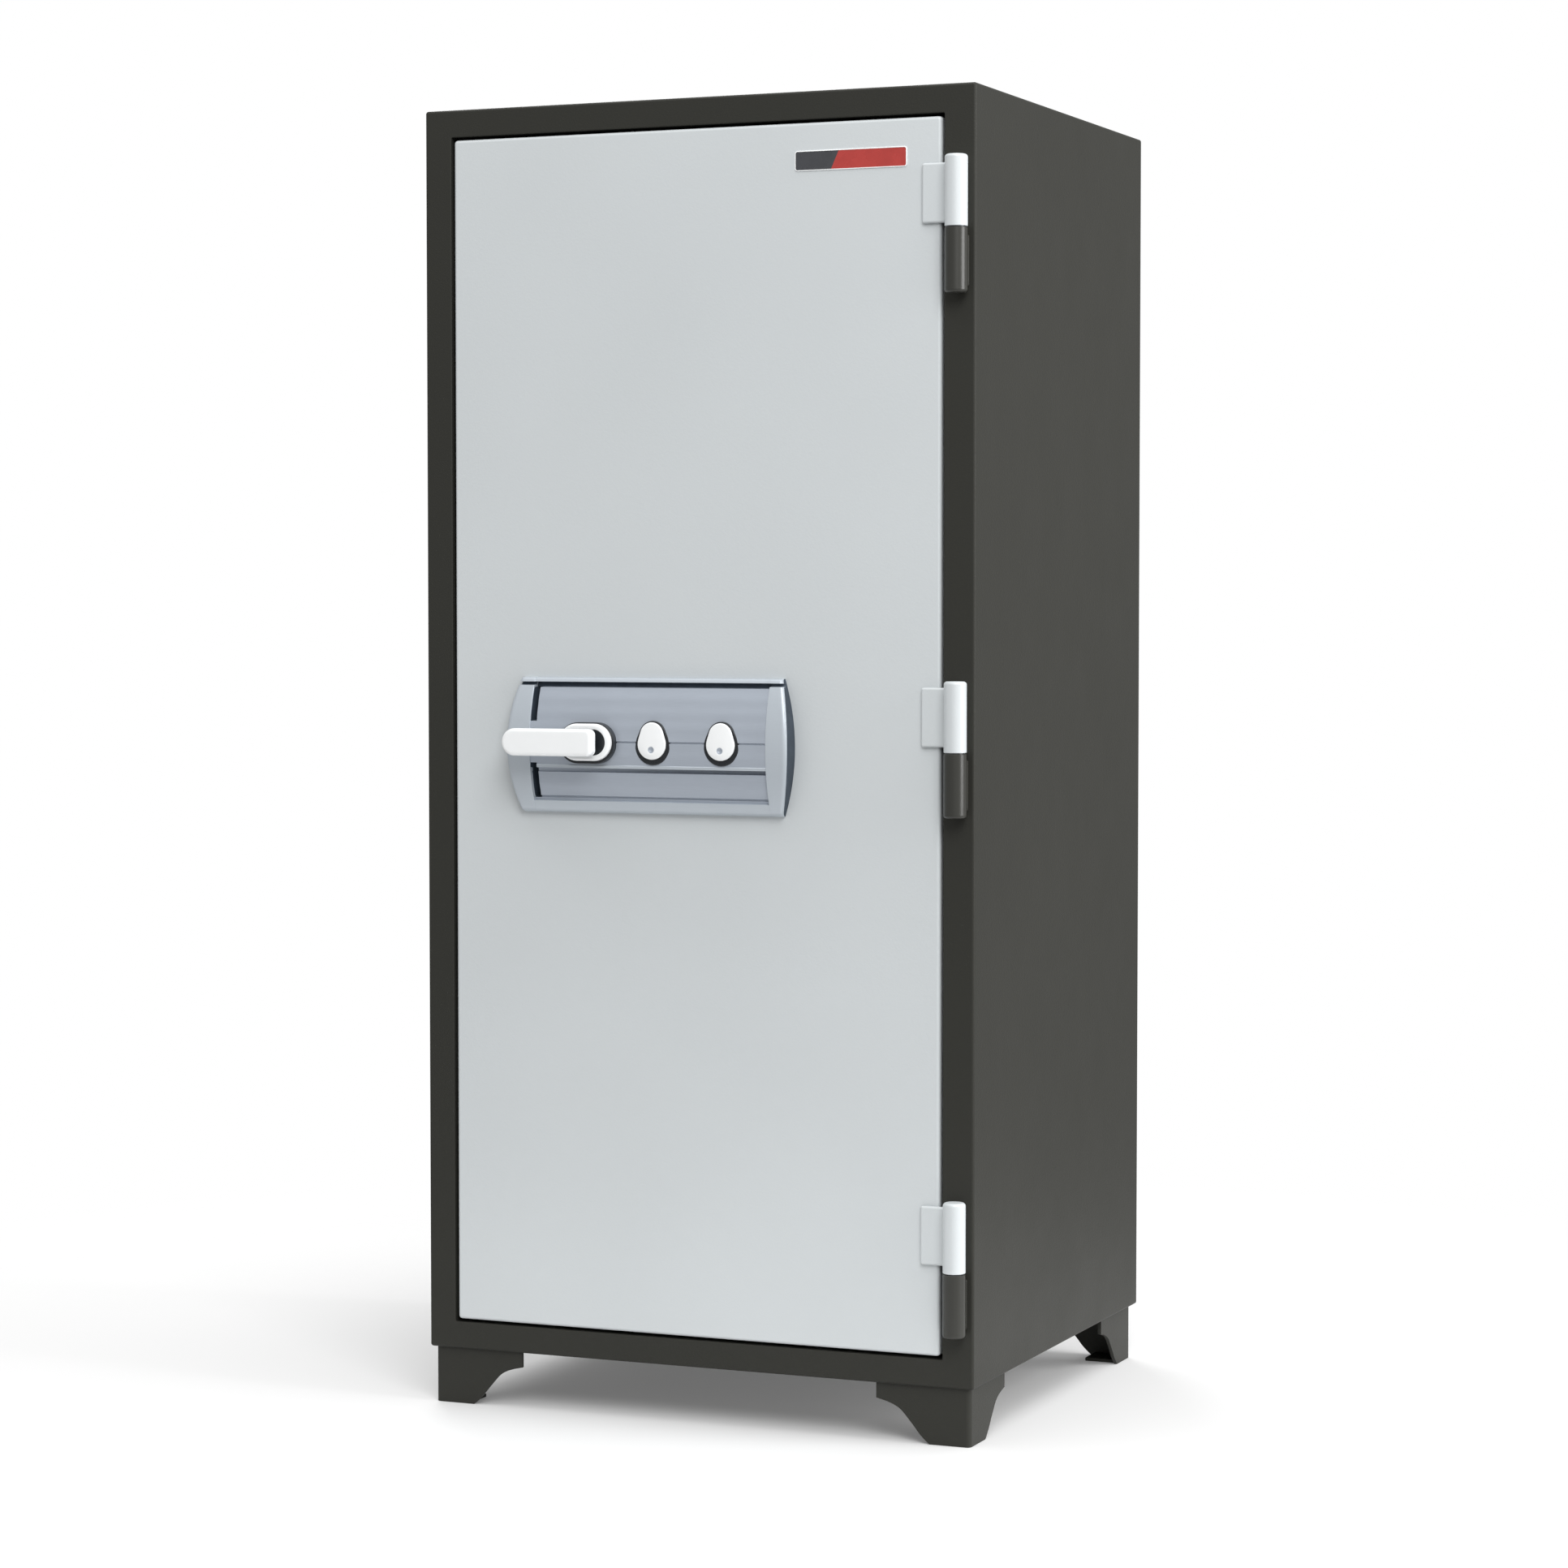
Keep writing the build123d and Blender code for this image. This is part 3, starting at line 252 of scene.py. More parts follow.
def remap(tree, value, low, high):
    """Spreads a noise value between two limits."""
    spread = tree.nodes.new("ShaderNodeMapRange")
    spread.inputs["From Min"].default_value = 0.3
    spread.inputs["From Max"].default_value = 0.7
    spread.inputs["To Min"].default_value = low
    spread.inputs["To Max"].default_value = high
    tree.links.new(value, spread.inputs["Value"])
    return spread.outputs["Result"]


def tinted(tree, value, first, second):
    """Two colours mixed by a value."""
    mix = tree.nodes.new("ShaderNodeMix")
    mix.data_type = "RGBA"
    mix.inputs["A"].default_value = (*first, 1)
    mix.inputs["B"].default_value = (*second, 1)
    tree.links.new(value, mix.inputs["Factor"])
    return mix.outputs["Result"]


def bumped(tree, layers):
    """Chains bump layers of (height, strength, distance) and returns the last normal."""
    normal = None
    for height, strength, distance in layers:
        bump = tree.nodes.new("ShaderNodeBump")
        bump.inputs["Strength"].default_value = strength
        bump.inputs["Distance"].default_value = distance
        tree.links.new(height, bump.inputs["Height"])
        if normal:
            tree.links.new(normal, bump.inputs["Normal"])
        normal = bump.outputs["Normal"]
    return normal


def new_finish(name, metallic=0.0, specular=0.5, coat=0.0):
    """A material with its shader set up; returns it with its tree, shader and coordinates."""
    material = bpy.data.materials.new(name)
    material.use_nodes = True
    tree = material.node_tree
    shader = tree.nodes["Principled BSDF"]
    shader.inputs["Metallic"].default_value = metallic
    shader.inputs["Specular IOR Level"].default_value = specular
    if coat:
        shader.inputs["Coat Weight"].default_value = coat
        shader.inputs["Coat Roughness"].default_value = 0.12
    place = tree.nodes.new("ShaderNodeTexCoord").outputs["Object"]
    return material, tree, shader, place


def shade(colour, factor):
    """A colour made darker or lighter by a factor."""
    return tuple(min(1.0, channel * factor) for channel in colour[:3])


def baked_paint(name, colour, roughness, peel, peel_scale, specular=0.5):
    """Stoved enamel or powder paint: faint tone drift, orange peel and fine tooth."""
    material, tree, shader, place = new_finish(name, specular=specular)
    drift = noise(tree, place, scale=2.2, detail=2.0)
    speck = noise(tree, place, scale=2600, detail=2.0)
    base = tinted(tree, remap(tree, drift, 0, 1), shade(colour, 0.965), shade(colour, 1.03))
    mix = tree.nodes.new("ShaderNodeMix")
    mix.data_type = "RGBA"
    mix.blend_type = "MULTIPLY"
    mix.inputs["Factor"].default_value = 1.0
    tree.links.new(base, mix.inputs["A"])
    tree.links.new(tinted(tree, remap(tree, speck, 0, 1), (0.96,) * 3, (1.0,) * 3), mix.inputs["B"])
    tree.links.new(mix.outputs["Result"], shader.inputs["Base Color"])
    patch = noise(tree, place, scale=14)
    tree.links.new(remap(tree, patch, roughness * 0.96, roughness * 1.04), shader.inputs["Roughness"])
    normal = bumped(tree, [
        (noise(tree, place, peel_scale, detail=1.5), peel, 0.6 * MM),
        (speck, peel * 0.5, 0.2 * MM),
    ])
    tree.links.new(normal, shader.inputs["Normal"])
    return material


def worked_metal(name, colour, roughness, depth, scale, grain=(1, 1, 1), metallic=1.0, spread=0.03):
    """Bare, plated or lacquered metal; grain stretches its scratches and spread is their contrast."""
    material, tree, shader, place = new_finish(name, metallic)
    stretch = tree.nodes.new("ShaderNodeMapping")
    stretch.inputs["Scale"].default_value = grain
    tree.links.new(place, stretch.inputs["Vector"])
    along = stretch.outputs["Vector"]
    streaks = noise(tree, along, scale, detail=4.0, roughness=0.6)
    clouds = noise(tree, place, scale=35)
    tone = tinted(tree, remap(tree, streaks, 0, 1), shade(colour, 1 - spread), shade(colour, 1 + spread))
    tree.links.new(tone, shader.inputs["Base Color"])
    total = tree.nodes.new("ShaderNodeMath")
    total.operation = "ADD"
    tree.links.new(remap(tree, streaks, -0.02, 0.02), total.inputs[0])
    tree.links.new(remap(tree, clouds, roughness * 0.92, roughness * 1.1), total.inputs[1])
    tree.links.new(total.outputs["Value"], shader.inputs["Roughness"])
    tree.links.new(bumped(tree, [(streaks, depth, 0.3 * MM)]), shader.inputs["Normal"])
    return material


def moulded(name, colour, roughness, specular=0.5):
    """Moulded plastic or rubber with a fine sparked texture."""
    material, tree, shader, place = new_finish(name, specular=specular)
    tooth = noise(tree, place, scale=1800)
    cloud = noise(tree, place, scale=60)
    tone = tinted(tree, remap(tree, cloud, 0, 1), shade(colour, 0.85), shade(colour, 1.15))
    tree.links.new(tone, shader.inputs["Base Color"])
    tree.links.new(remap(tree, tooth, roughness * 0.85, roughness * 1.15), shader.inputs["Roughness"])
    tree.links.new(bumped(tree, [(tooth, 0.2, 0.2 * MM)]), shader.inputs["Normal"])
    return material


def poured_filling(name, colour):
    """Cast mineral filling: coarse grains, pores and pale bloom."""
    material, tree, shader, place = new_finish(name, specular=0.2)
    grains = noise(tree, place, scale=260, detail=6.0, roughness=0.7)
    bloom = noise(tree, place, scale=18, detail=4.0)
    tone = tinted(tree, remap(tree, grains, 0, 1), shade(colour, 0.82), shade(colour, 1.1))
    tree.links.new(tone, shader.inputs["Base Color"])
    tree.links.new(remap(tree, bloom, 0.8, 0.95), shader.inputs["Roughness"])
    tree.links.new(bumped(tree, [(grains, 0.5, 1 * MM)]), shader.inputs["Normal"])
    return material


def split_enamel(name, first, second, split_x, centre_z, lean):
    """Two flat enamels that meet on a slanted line, with a faint ripple in the glaze."""
    material, tree, shader, place = new_finish(name, coat=0.5)
    apart = tree.nodes.new("ShaderNodeSeparateXYZ")
    tree.links.new(place, apart.inputs["Vector"])
    slope = tree.nodes.new("ShaderNodeMath")
    slope.operation = "MULTIPLY_ADD"
    slope.inputs[1].default_value = -lean
    tree.links.new(apart.outputs["Z"], slope.inputs[0])
    tree.links.new(apart.outputs["X"], slope.inputs[2])
    side = tree.nodes.new("ShaderNodeMath")
    side.operation = "GREATER_THAN"
    side.inputs[1].default_value = split_x - lean * centre_z
    tree.links.new(slope.outputs["Value"], side.inputs[0])
    mix = tree.nodes.new("ShaderNodeMix")
    mix.data_type = "RGBA"
    ripple = noise(tree, place, scale=90, detail=2.0)
    tree.links.new(side.outputs["Value"], mix.inputs["Factor"])
    for colour, socket in ((first, "A"), (second, "B")):
        tone = tinted(tree, remap(tree, ripple, 0, 1), shade(colour, 0.94), shade(colour, 1.06))
        tree.links.new(tone, mix.inputs[socket])
    tree.links.new(mix.outputs["Result"], shader.inputs["Base Color"])
    tree.links.new(remap(tree, ripple, 0.2, 0.32), shader.inputs["Roughness"])
    tree.links.new(bumped(tree, [(ripple, 0.1, 0.4 * MM)]), shader.inputs["Normal"])
    return material


def finish_named(name):
    """The finish of that name, made once from the user's colours."""
    found = bpy.data.materials.get("finish_" + name)
    if found:
        return found
    paints = bpy.context.scene.cabinet_paints
    full = "finish_" + name
    brushed = (1, 30, 30)
    ground = (60, 1, 1)
    makers = {
        "body": lambda: baked_paint(full, paints.body, 0.46, peel=0.28, peel_scale=520, specular=0.15),
        "knuckle": lambda: baked_paint(full, paints.body, 0.33, peel=0.05, peel_scale=420, specular=0.45),
        "door": lambda: baked_paint(full, paints.door, 0.34, peel=0.14, peel_scale=420),
        "shelf": lambda: baked_paint(full, paints.shelf, 0.4, peel=0.18, peel_scale=700),
        "silver_and_dimple_shade": lambda: worked_metal(
            full, paints.silver_and_dimple_shade, 0.42, depth=0.05, scale=60, grain=brushed, metallic=0.25
        ),
        "cap": lambda: worked_metal(
            full, paints.cap, 0.4, depth=0.03, scale=60, grain=brushed, metallic=0.25, spread=0.015
        ),
        "dark_end_and_painted_shade": lambda: moulded(full, paints.dark_end_and_painted_shade, 0.5, specular=0.2),
        "nickel": lambda: worked_metal(
            full, paints.nickel, 0.24, depth=0.004, scale=55, metallic=0.12, spread=0.008
        ),
        "black_and_painted_shade": lambda: moulded(full, paints.black_and_painted_shade, 0.3),
        "zinc": lambda: worked_metal(full, paints.zinc, 0.36, depth=0.1, scale=90),
        "ground": lambda: worked_metal(full, paints.ground, 0.2, depth=0.06, scale=30, grain=ground),
        "brass": lambda: worked_metal(full, paints.brass, 0.28, depth=0.05, scale=160),
        "rubber": lambda: moulded(full, paints.rubber, 0.7, specular=0.3),
        "filling": lambda: poured_filling(full, paints.filling),
    }
    return makers[name]()


# -------------------------------------------------------------- user values


def colour_property(name, description, default):
    """A colour that the user can change."""
    return FloatVectorProperty(
        name=name, description=description, subtype="COLOR", size=3, min=0.0, max=1.0, default=default
    )


def length_property(name, description, millimetres):
    """A length that the user can change, with its default in millimetres."""
    return FloatProperty(
        name=name, description=description, default=millimetres * MM, min=0.0, unit="LENGTH", precision=4
    )


def strength_property(name, description, default):
    """A strength without a unit."""
    return FloatProperty(name=name, description=description, default=default, min=0.0)


def power_property(name, description, watts):
    """A light's power, with its default in watts."""
    return FloatProperty(name=name, description=description, default=watts, min=0.0, unit="POWER")


class CabinetPaints(bpy.types.PropertyGroup):
    """Colours of the finishes."""

    body: colour_property("Body paint", "Dark stoved paint of the body and feet", (0.032, 0.032, 0.0275))
    door: colour_property("Door paint", "Light grey paint of the door", (0.60, 0.632, 0.645))
    shelf: colour_property("Shelf paint", "Paint of the inner liner and shelves", (0.42, 0.44, 0.44))
    # Also painted shade: the hollows of the key covers take this grey finish.
    silver_and_dimple_shade: colour_property("Panel silver", "Silver lacquer of the lock panel", (0.40, 0.44, 0.50))
    # Also a painted highlight: the rails and lip of the panel's centre take this lighter finish.
    cap: colour_property("Cap silver", "Silver lacquer of the panel's end caps", (0.49, 0.535, 0.58))
    # Also painted shade: the panel's grooves and slots take this dark finish.
    dark_end_and_painted_shade: colour_property("Panel edge", "Dark ends of the lock panel", (0.05, 0.065, 0.085))
    nickel: colour_property("Nickel", "Plating of the lever, rose and key covers", (0.955, 0.97, 0.975))
    # Also painted shade: the lever's neck and the rose's recess take this black finish.
    black_and_painted_shade: colour_property("Black plastic", "Key plates and neck bush", (0.012, 0.014, 0.017))
    zinc: colour_property("Zinc", "Plating of inner steel parts", (0.50, 0.51, 0.52))
    ground: colour_property("Ground steel", "Bolts and pins", (0.60, 0.60, 0.60))
    brass: colour_property("Brass", "Bushes, washers and key barrels", (0.62, 0.44, 0.18))
    rubber: colour_property("Seal", "Fire seal round the door", (0.02, 0.02, 0.02))
    filling: colour_property("Filling", "Mineral filling of the walls", (0.55, 0.53, 0.49))
    badge_dark: colour_property("Badge left", "Left enamel of the badge", (0.045, 0.047, 0.053))
    badge_bright: colour_property("Badge right", "Right enamel of the badge", (0.42, 0.04, 0.033))


class CabinetEdges(bpy.types.PropertyGroup):
    """Radii and small depths that shape the pieces."""

    casing_bend: length_property("Casing bend", "Radius of the folded casing edges", 3.0)
    door_edge: length_property("Door edge", "Radius round the door's face", 3.6)
    foot_edge: length_property("Foot edge", "Radius on the edges of the feet", 1.2)
    hinge_edge: length_property("Hinge edge", "Radius at the knuckle's free end", 3.5)
    lever_edge: length_property("Lever edge", "Radius round the lever's face", 4.0)
    cover_edge: length_property("Cover edge", "Radius round the key covers", 1.6)
    rib_depth: length_property("Rib depth", "Depth of the ribs in the lock panel", 0.35)
    swage_depth: length_property("Swage depth", "Depth of the pressing in the back panel", 1.5)
    turns: IntProperty(name="Turned sides", description="Facets round the lever's neck", default=64, min=16)


class CabinetStudio(bpy.types.PropertyGroup):
    """Light and camera."""

    backdrop: strength_property("Backdrop", "White seen behind the cabinet", 1.0)
    sky: strength_property("Sky", "Strength of the surround's light", 0.42)
    floor_glow: strength_property("Floor glow", "Light from the floor paper", 0.13)
    top: power_property("Top light", "Large light overhead", 140.0)
    key: power_property("Key light", "Soft light, upper right in front", 138.0)
    side: power_property("Side light", "Soft light, right", 108.0)
    back: power_property("Back light", "Soft light, behind", 80.0)
    lens: FloatProperty(name="Lens", description="Camera lens", default=90.43, min=10.0, unit="CAMERA")


# ------------------------------------------------------------ cabinet pieces


def casing_rings(bend):
    """The casing's section: out from its rear edge, along the side, over the bend and back inside."""
    outside = (BODY_LOW[0], BODY_HIGH[0], BODY_LOW[2], BODY_HIGH[2])
    window = (WINDOW_LOW[0], WINDOW_HIGH[0], WINDOW_LOW[1], WINDOW_HIGH[1])
    window_corner = 2 * MM
    back = BODY_HIGH[1]
    inside = FACE_Y + SHEET
    lip = 0.4 * MM
    flat_side = FACE_Y + 60 * MM
    rings = [
        inset_rectangle(outside, SHEET - lip, bend, back),
        inset_rectangle(outside, lip, bend, back),
        inset_rectangle(outside, 0, bend, back - lip),
        inset_rectangle(outside, 0, bend, flat_side),
    ]
    rings += rolled_rings(outside, bend, bend, FACE_Y, steps=7)
    for outset, y in ((3, FACE_Y), (1.6, FACE_Y + 0.2 * lip), (0, FACE_Y + lip), (0, inside)):
        rings.append(inset_rectangle(window, -outset * lip, window_corner, y))
    rings.append(inset_rectangle(outside, SHEET, bend, inside))
    rings.append(inset_rectangle(outside, SHEET, bend, back - lip))
    return rings


def build_casing():
    """Folded casing with its front return round the door."""
    bm = bmesh.new()
    loft(bm, casing_rings(bpy.context.scene.cabinet_edges.casing_bend), joined=True)
    finish_piece("cabinet_casing", bm, "cabinet", ["body"], ["outer_casing", "base_plate"])


def build_back_panel():
    """Back sheet with a pressed panel, set inside the casing's edge."""
    low, high = node_box("back_panel")
    depth = bpy.context.scene.cabinet_edges.swage_depth
    gap = 0.6 * MM
    corner = 3 * MM
    sheet = (low[0] + gap, high[0] - gap, low[2] + SHEET + gap, high[2] - gap)
    back = high[1] - 0.3 * MM
    bm = bmesh.new()
    rings = [inset_rectangle(sheet, 0, corner, low[1] - depth)]
    rings += rolled_rings(sheet, corner, 0.6 * MM, back, steps=3, facing=BACK)
    rings += pressed_rings(sheet, margin=48 * MM, slope=4 * MM, corner=40 * MM, face=back, depth=depth)
    loft(bm, rings)
    finish_piece("rear_panel", bm, "cabinet", ["body"], ["back_panel"])


# The foot's lower edge in mm, as (distance from its corner, drop below the body). The first and last
# points only set the slope at the ends.
FOOT_CURVE = [(38, 66), (46, 62), (56, 53), (66, 41), (81, 25.5), (106, 17), (131, 14)]
FOOT_SHEET = 4 * MM
FOOT_BEND = 5 * MM
FOOT_REACH = FOOT_CURVE[-2][0] * MM
FOOT_PITCH = 2.4 * MM
FOOT_TOP_PLATE = 86 * MM
FOOT_SOLE = 41 * MM


def curve_between(t, start, end, slope_start, slope_end):
    """A cubic from start to end, which leaves and arrives at the given slopes."""
    return (
        start * (2 * t ** 3 - 3 * t ** 2 + 1) + slope_start * (t ** 3 - 2 * t ** 2 + t)
        + end * (3 * t ** 2 - 2 * t ** 3) + slope_end * (t ** 3 - t ** 2)
    )


def foot_drop(distance):
    """How far below the body the foot's edge lies at a distance from its corner."""
    at = distance / MM
    if at <= FOOT_CURVE[1][0]:
        return FOOT_CURVE[1][1] * MM
    for (xa, ya), (xb, yb), (xc, yc), (xd, yd) in zip(
        FOOT_CURVE, FOOT_CURVE[1:], FOOT_CURVE[2:], FOOT_CURVE[3:]
    ):
        if at <= xc + 1e-6:
            span = xc - xb
            slope_b = (yc - ya) / (xc - xa) * span
            slope_c = (yd - yb) / (xd - xb) * span
            return MM * curve_between((at - xb) / span, yb, yc, slope_b, slope_c)
    return FOOT_CURVE[-2][1] * MM


def foot_stations():
    """Places along a foot's two flanges: (outer point, inner point, distance from corner)."""
    distances = [FOOT_REACH - FOOT_PITCH * step for step in range(int(FOOT_REACH / FOOT_PITCH))]
    distances = [distance for distance in distances if distance > FOOT_BEND]
    stations = [((distance, 0), (distance, FOOT_SHEET), distance) for distance in distances]
    steps = 6
    for step in range(steps + 1):
        turn = math.radians(90 * step / steps)
        outer, inner = (
            (FOOT_BEND - radius * math.sin(turn), FOOT_BEND - radius * math.cos(turn))
            for radius in (FOOT_BEND, FOOT_BEND - FOOT_SHEET)
        )
        stations.append((outer, inner, 0))
    return stations + [
        ((0, distance), (FOOT_SHEET, distance), distance) for distance in reversed(distances)
    ]


def build_foot(node):
    """One bracket foot: bent ogee flange, top plate and sole."""
    low, high = node_box(node)
    right = "right" in node
    rear = "rear" in node
    corner = (high[0] if right else low[0], high[1] if rear else low[1])
    turn_x = -1 if right else 1
    turn_y = -1 if rear else 1
    edge = bpy.context.scene.cabinet_edges.foot_edge
    top = high[2]

    def place(outer, inner, share, z):
        """A point of the foot, a share of the way through its sheet."""
        across, along = (o + (i - o) * share for o, i in zip(outer, inner))
        return (corner[0] + turn_x * across, corner[1] + turn_y * along, z)

    bm = bmesh.new()
    sections = []
    for outer, inner, distance in foot_stations():
        bottom = max(top - foot_drop(distance), low[2])
        section = [
            (0, top), (0, bottom + edge), (0, bottom + 0.3 * edge), (0.2, bottom),
            (0.8, bottom), (1, bottom + 0.6 * edge), (1, top),
        ]
        sections.append([place(outer, inner, share, z) for share, z in section])
    loft(bm, sections)
    top_plate = (FOOT_SHEET, FOOT_TOP_PLATE, top - FOOT_SHEET, top)
    sole = (FOOT_SHEET - 1 * MM, FOOT_SOLE, low[2], low[2] + FOOT_SHEET)
    for near, far, z0, z1 in (top_plate, sole):
        x0, x1 = sorted(corner[0] + turn_x * reach for reach in (near, far))
        y0, y1 = sorted(corner[1] + turn_y * reach for reach in (near, far))
        soft_block(bm, (x0, y0, z0), (x1, y1, z1), edge=0.8 * MM, segments=2)
    name = node.replace("foot", "bracket_foot")
    finish_piece(name, bm, "cabinet", ["body"], [node])


def build_seal():
    """Rounded fire seal on the step behind the door's edge."""
    low, high = node_box("door_seal")
    outer = (low[0], high[0], low[2], high[2])
    half_width = 4 * MM
    fullness = 0.6
    steps = 8
    rings = []
    for step in range(steps + 1):
        turn = math.pi * step / steps
        inset = half_width * (1 - math.cos(turn))
        rise = (high[1] - low[1]) * math.sin(turn) ** fullness if 0 < step < steps else 0
        rings.append(inset_rectangle(outer, inset, 14 * MM, high[1] - rise))
    bm = bmesh.new()
    loft(bm, rings, joined=True)
    finish_piece("fire_seal", bm, "cabinet", ["rubber"], ["door_seal"])


def build_shelf(node):
    """Tray shelf: a top sheet that rolls down into a lip on all four sides."""
    low, high = node_box(node)
    bend = 3 * MM
    thickness = 1.5 * MM

    def level(inset, z):
        """The shelf's outline seen from above, moved in by an inset, at a height."""
        x0, x1 = low[0] + inset, high[0] - inset
        y0, y1 = low[1] + inset, high[1] - inset
        corner = max(4 * MM - inset, 0.5 * MM)
        return [(x, y, height) for x, height, y in rectangle_loop(x0, x1, y0, y1, corner, z)]

    rings = [level(thickness, high[2] - thickness), level(thickness, low[2]), level(0, low[2])]
    rings += [level(inset, high[2] - bend + rise) for inset, rise in quarter_round(bend, 5)]
    bm = bmesh.new()
    loft(bm, rings)
    finish_piece("tray_" + node, bm, "cabinet", ["shelf"], [node])


# --------------------------------------------------------------- door pieces


def build_door_face():
    """Door pan: a flat face with rounded edges and returns that run back into the opening."""
    edge = bpy.context.scene.cabinet_edges.door_edge
    face = (DOOR_LOW[0], DOOR_HIGH[0], DOOR_LOW[2], DOOR_HIGH[2])
    corner = 4 * MM
    back = DOOR_HIGH[1]
    rings = [
        inset_rectangle(face, SHEET, corner, FACE_Y + SHEET),
        inset_rectangle(face, SHEET, corner, back),
        inset_rectangle(face, 0, corner, back),
    ]
    rings += rolled_rings(face, corner, edge, FACE_Y, steps=6)
    bm = bmesh.new()
    loft(bm, rings)
    finish_piece("door_face", bm, "door", ["door"], ["door_front"])


def build_inner_cover():
    """Inner cover of the door, with a pressed centre."""
    low, high = node_box("door_inner_cover")
    sheet = (low[0], high[0], low[2], high[2])
    corner = 4 * MM
    edge = 0.5 * MM
    rings = [
        inset_rectangle(sheet, 0, corner, low[1]),
        inset_rectangle(sheet, 0, corner, high[1] - edge),
        inset_rectangle(sheet, edge, corner, high[1]),
    ]
    rings += pressed_rings(
        sheet, margin=40 * MM, slope=7 * MM, corner=58 * MM, face=high[1], depth=1.1 * MM
    )
    bm = bmesh.new()
    loft(bm, rings)
    finish_piece("door_lining", bm, "door", ["shelf"], ["door_inner_cover"])


def solids_of(node):
    """Boxes of the separate solids of a fixed node."""
    bm = bmesh.new()
    bm.from_mesh(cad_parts[node].data)
    bmesh.ops.remove_doubles(bm, verts=bm.verts[:], dist=1e-6)
    left = set(bm.verts)
    boxes = []
    while left:
        found = {left.pop()}
        frontier = list(found)
        while frontier:
            vert = frontier.pop()
            for edge in vert.link_edges:
                other = edge.other_vert(vert)
                if other in left:
                    left.remove(other)
                    found.add(other)
                    frontier.append(other)
        low = tuple(min(v.co[i] for v in found) for i in range(3))
        high = tuple(max(v.co[i] for v in found) for i in range(3))
        boxes.append((low, high))
    bm.free()
    return sorted(boxes)


def middle(low, high):
    """The point halfway between two corners."""
    return tuple((a + b) / 2 for a, b in zip(low, high))


# Half section of a screw in mm, as (radius, height over the sheet): recess, domed head and shank.
SCREW_PROFILE = [
    (0, -1.6), (1.9, -1.5), (2.1, -0.3), (2.5, 0), (3.4, -0.25), (4.4, -0.9), (5, -1.8), (5, -2.5),
    (2.4, -2.5), (2.4, -9), (0, -9),
]


def build_cover_screws():
    """Domed screws with a round recess."""
    bm = bmesh.new()
    profile = [(radius * MM, along * MM) for radius, along in SCREW_PROFILE]
    for low, high in solids_of("inner_cover_screws"):
        x, _, z = middle(low, high)
        lathe(bm, (x, high[1], z), "Y", profile, steps=30)
    finish_piece("lining_screws", bm, "door", ["zinc"], ["inner_cover_screws"])


# Points of a bolt's half section in mm, as (inset from its radius, distance along).
BOLT_NOSE = [(2.6, 0), (2.1, 0.2), (0.3, 1.9), (0, 2.5)]
BOLT_GROOVE = [(0, 0), (0.4, 0.4), (0.4, 1.6), (0, 2)]
BOLT_GROOVE_SHARE = 0.55


def build_bolts(name, node, body, toward):
    """Round bolts with a chamfered nose and a turned shoulder line."""
    bm = bmesh.new()
    for low, high in solids_of(node):
        _, y, z = middle(low, high)
        radius = (high[2] - low[2]) / 2
        length = high[0] - low[0]
        nose = low[0] if toward < 0 else high[0]
        groove = length * BOLT_GROOVE_SHARE
        profile = [(0, 0)]
        profile += [(radius - inset * MM, along * MM) for inset, along in BOLT_NOSE]
        profile += [(radius - inset * MM, groove + along * MM) for inset, along in BOLT_GROOVE]
        profile += [(radius, length), (0, length)]
        lathe(bm, (nose, y, z), "X", [(r, -toward * along) for r, along in profile])
    finish_piece(name, bm, body, ["ground"], [node])


# Hinge knuckles, the leaf on the door and the weld on the body.
KNUCKLE_RADIUS = 12 * MM
LEAF_SHEET = 5 * MM
WELD_RADIUS = 2.2 * MM
WELD_PITCH = 2.4 * MM
WELD_RIPPLES = 21


def knuckle_profile(length):
    """Half section of a knuckle: a square end at the joint and a domed free end."""
    edge = bpy.context.scene.cabinet_edges.hinge_edge
    break_edge = 0.5 * MM
    profile = [
        (0, 0), (KNUCKLE_RADIUS - break_edge, 0), (KNUCKLE_RADIUS, break_edge),
        (KNUCKLE_RADIUS, length - edge),
    ]
    profile += [
        (KNUCKLE_RADIUS - inset, length - edge + rise) for inset, rise in quarter_round(edge, 6)[1:]
    ]
    return profile + [(4 * MM, length), (0, length)]


def weld_bead(length):
    """Half section of a weld bead with its ripples."""
    bead = [(0, 0), (1.6 * MM, 0.8 * MM)]
    for step in range(WELD_RIPPLES):
        along = 3 * MM + step * WELD_PITCH
        bead += [(WELD_RADIUS, along), (WELD_RADIUS - 0.3 * MM, along + WELD_PITCH / 2)]
    return bead + [(0, length)]


def build_door_hinge(node):
    """Upper knuckle with its leaf, painted with the door."""
    low, high = node_box(node)
    x, y, z = high[0] - KNUCKLE_RADIUS, low[1] + KNUCKLE_RADIUS, low[2]
    bm = bmesh.new()
    lathe(bm, (x, y, z), "Z", knuckle_profile(high[2] - low[2]))
    leaf_low = (low[0], FACE_Y - LEAF_SHEET, low[2] + 5 * MM)
    leaf_high = (x - 3 * MM, FACE_Y - 0.1 * MM, high[2] - 7 * MM)
    soft_block(bm, leaf_low, leaf_high, edge=2.4 * MM, segments=5)
    name = node.replace("hinge_door", "door_knuckle")
    finish_piece(name, bm, "door", ["door"], [node])


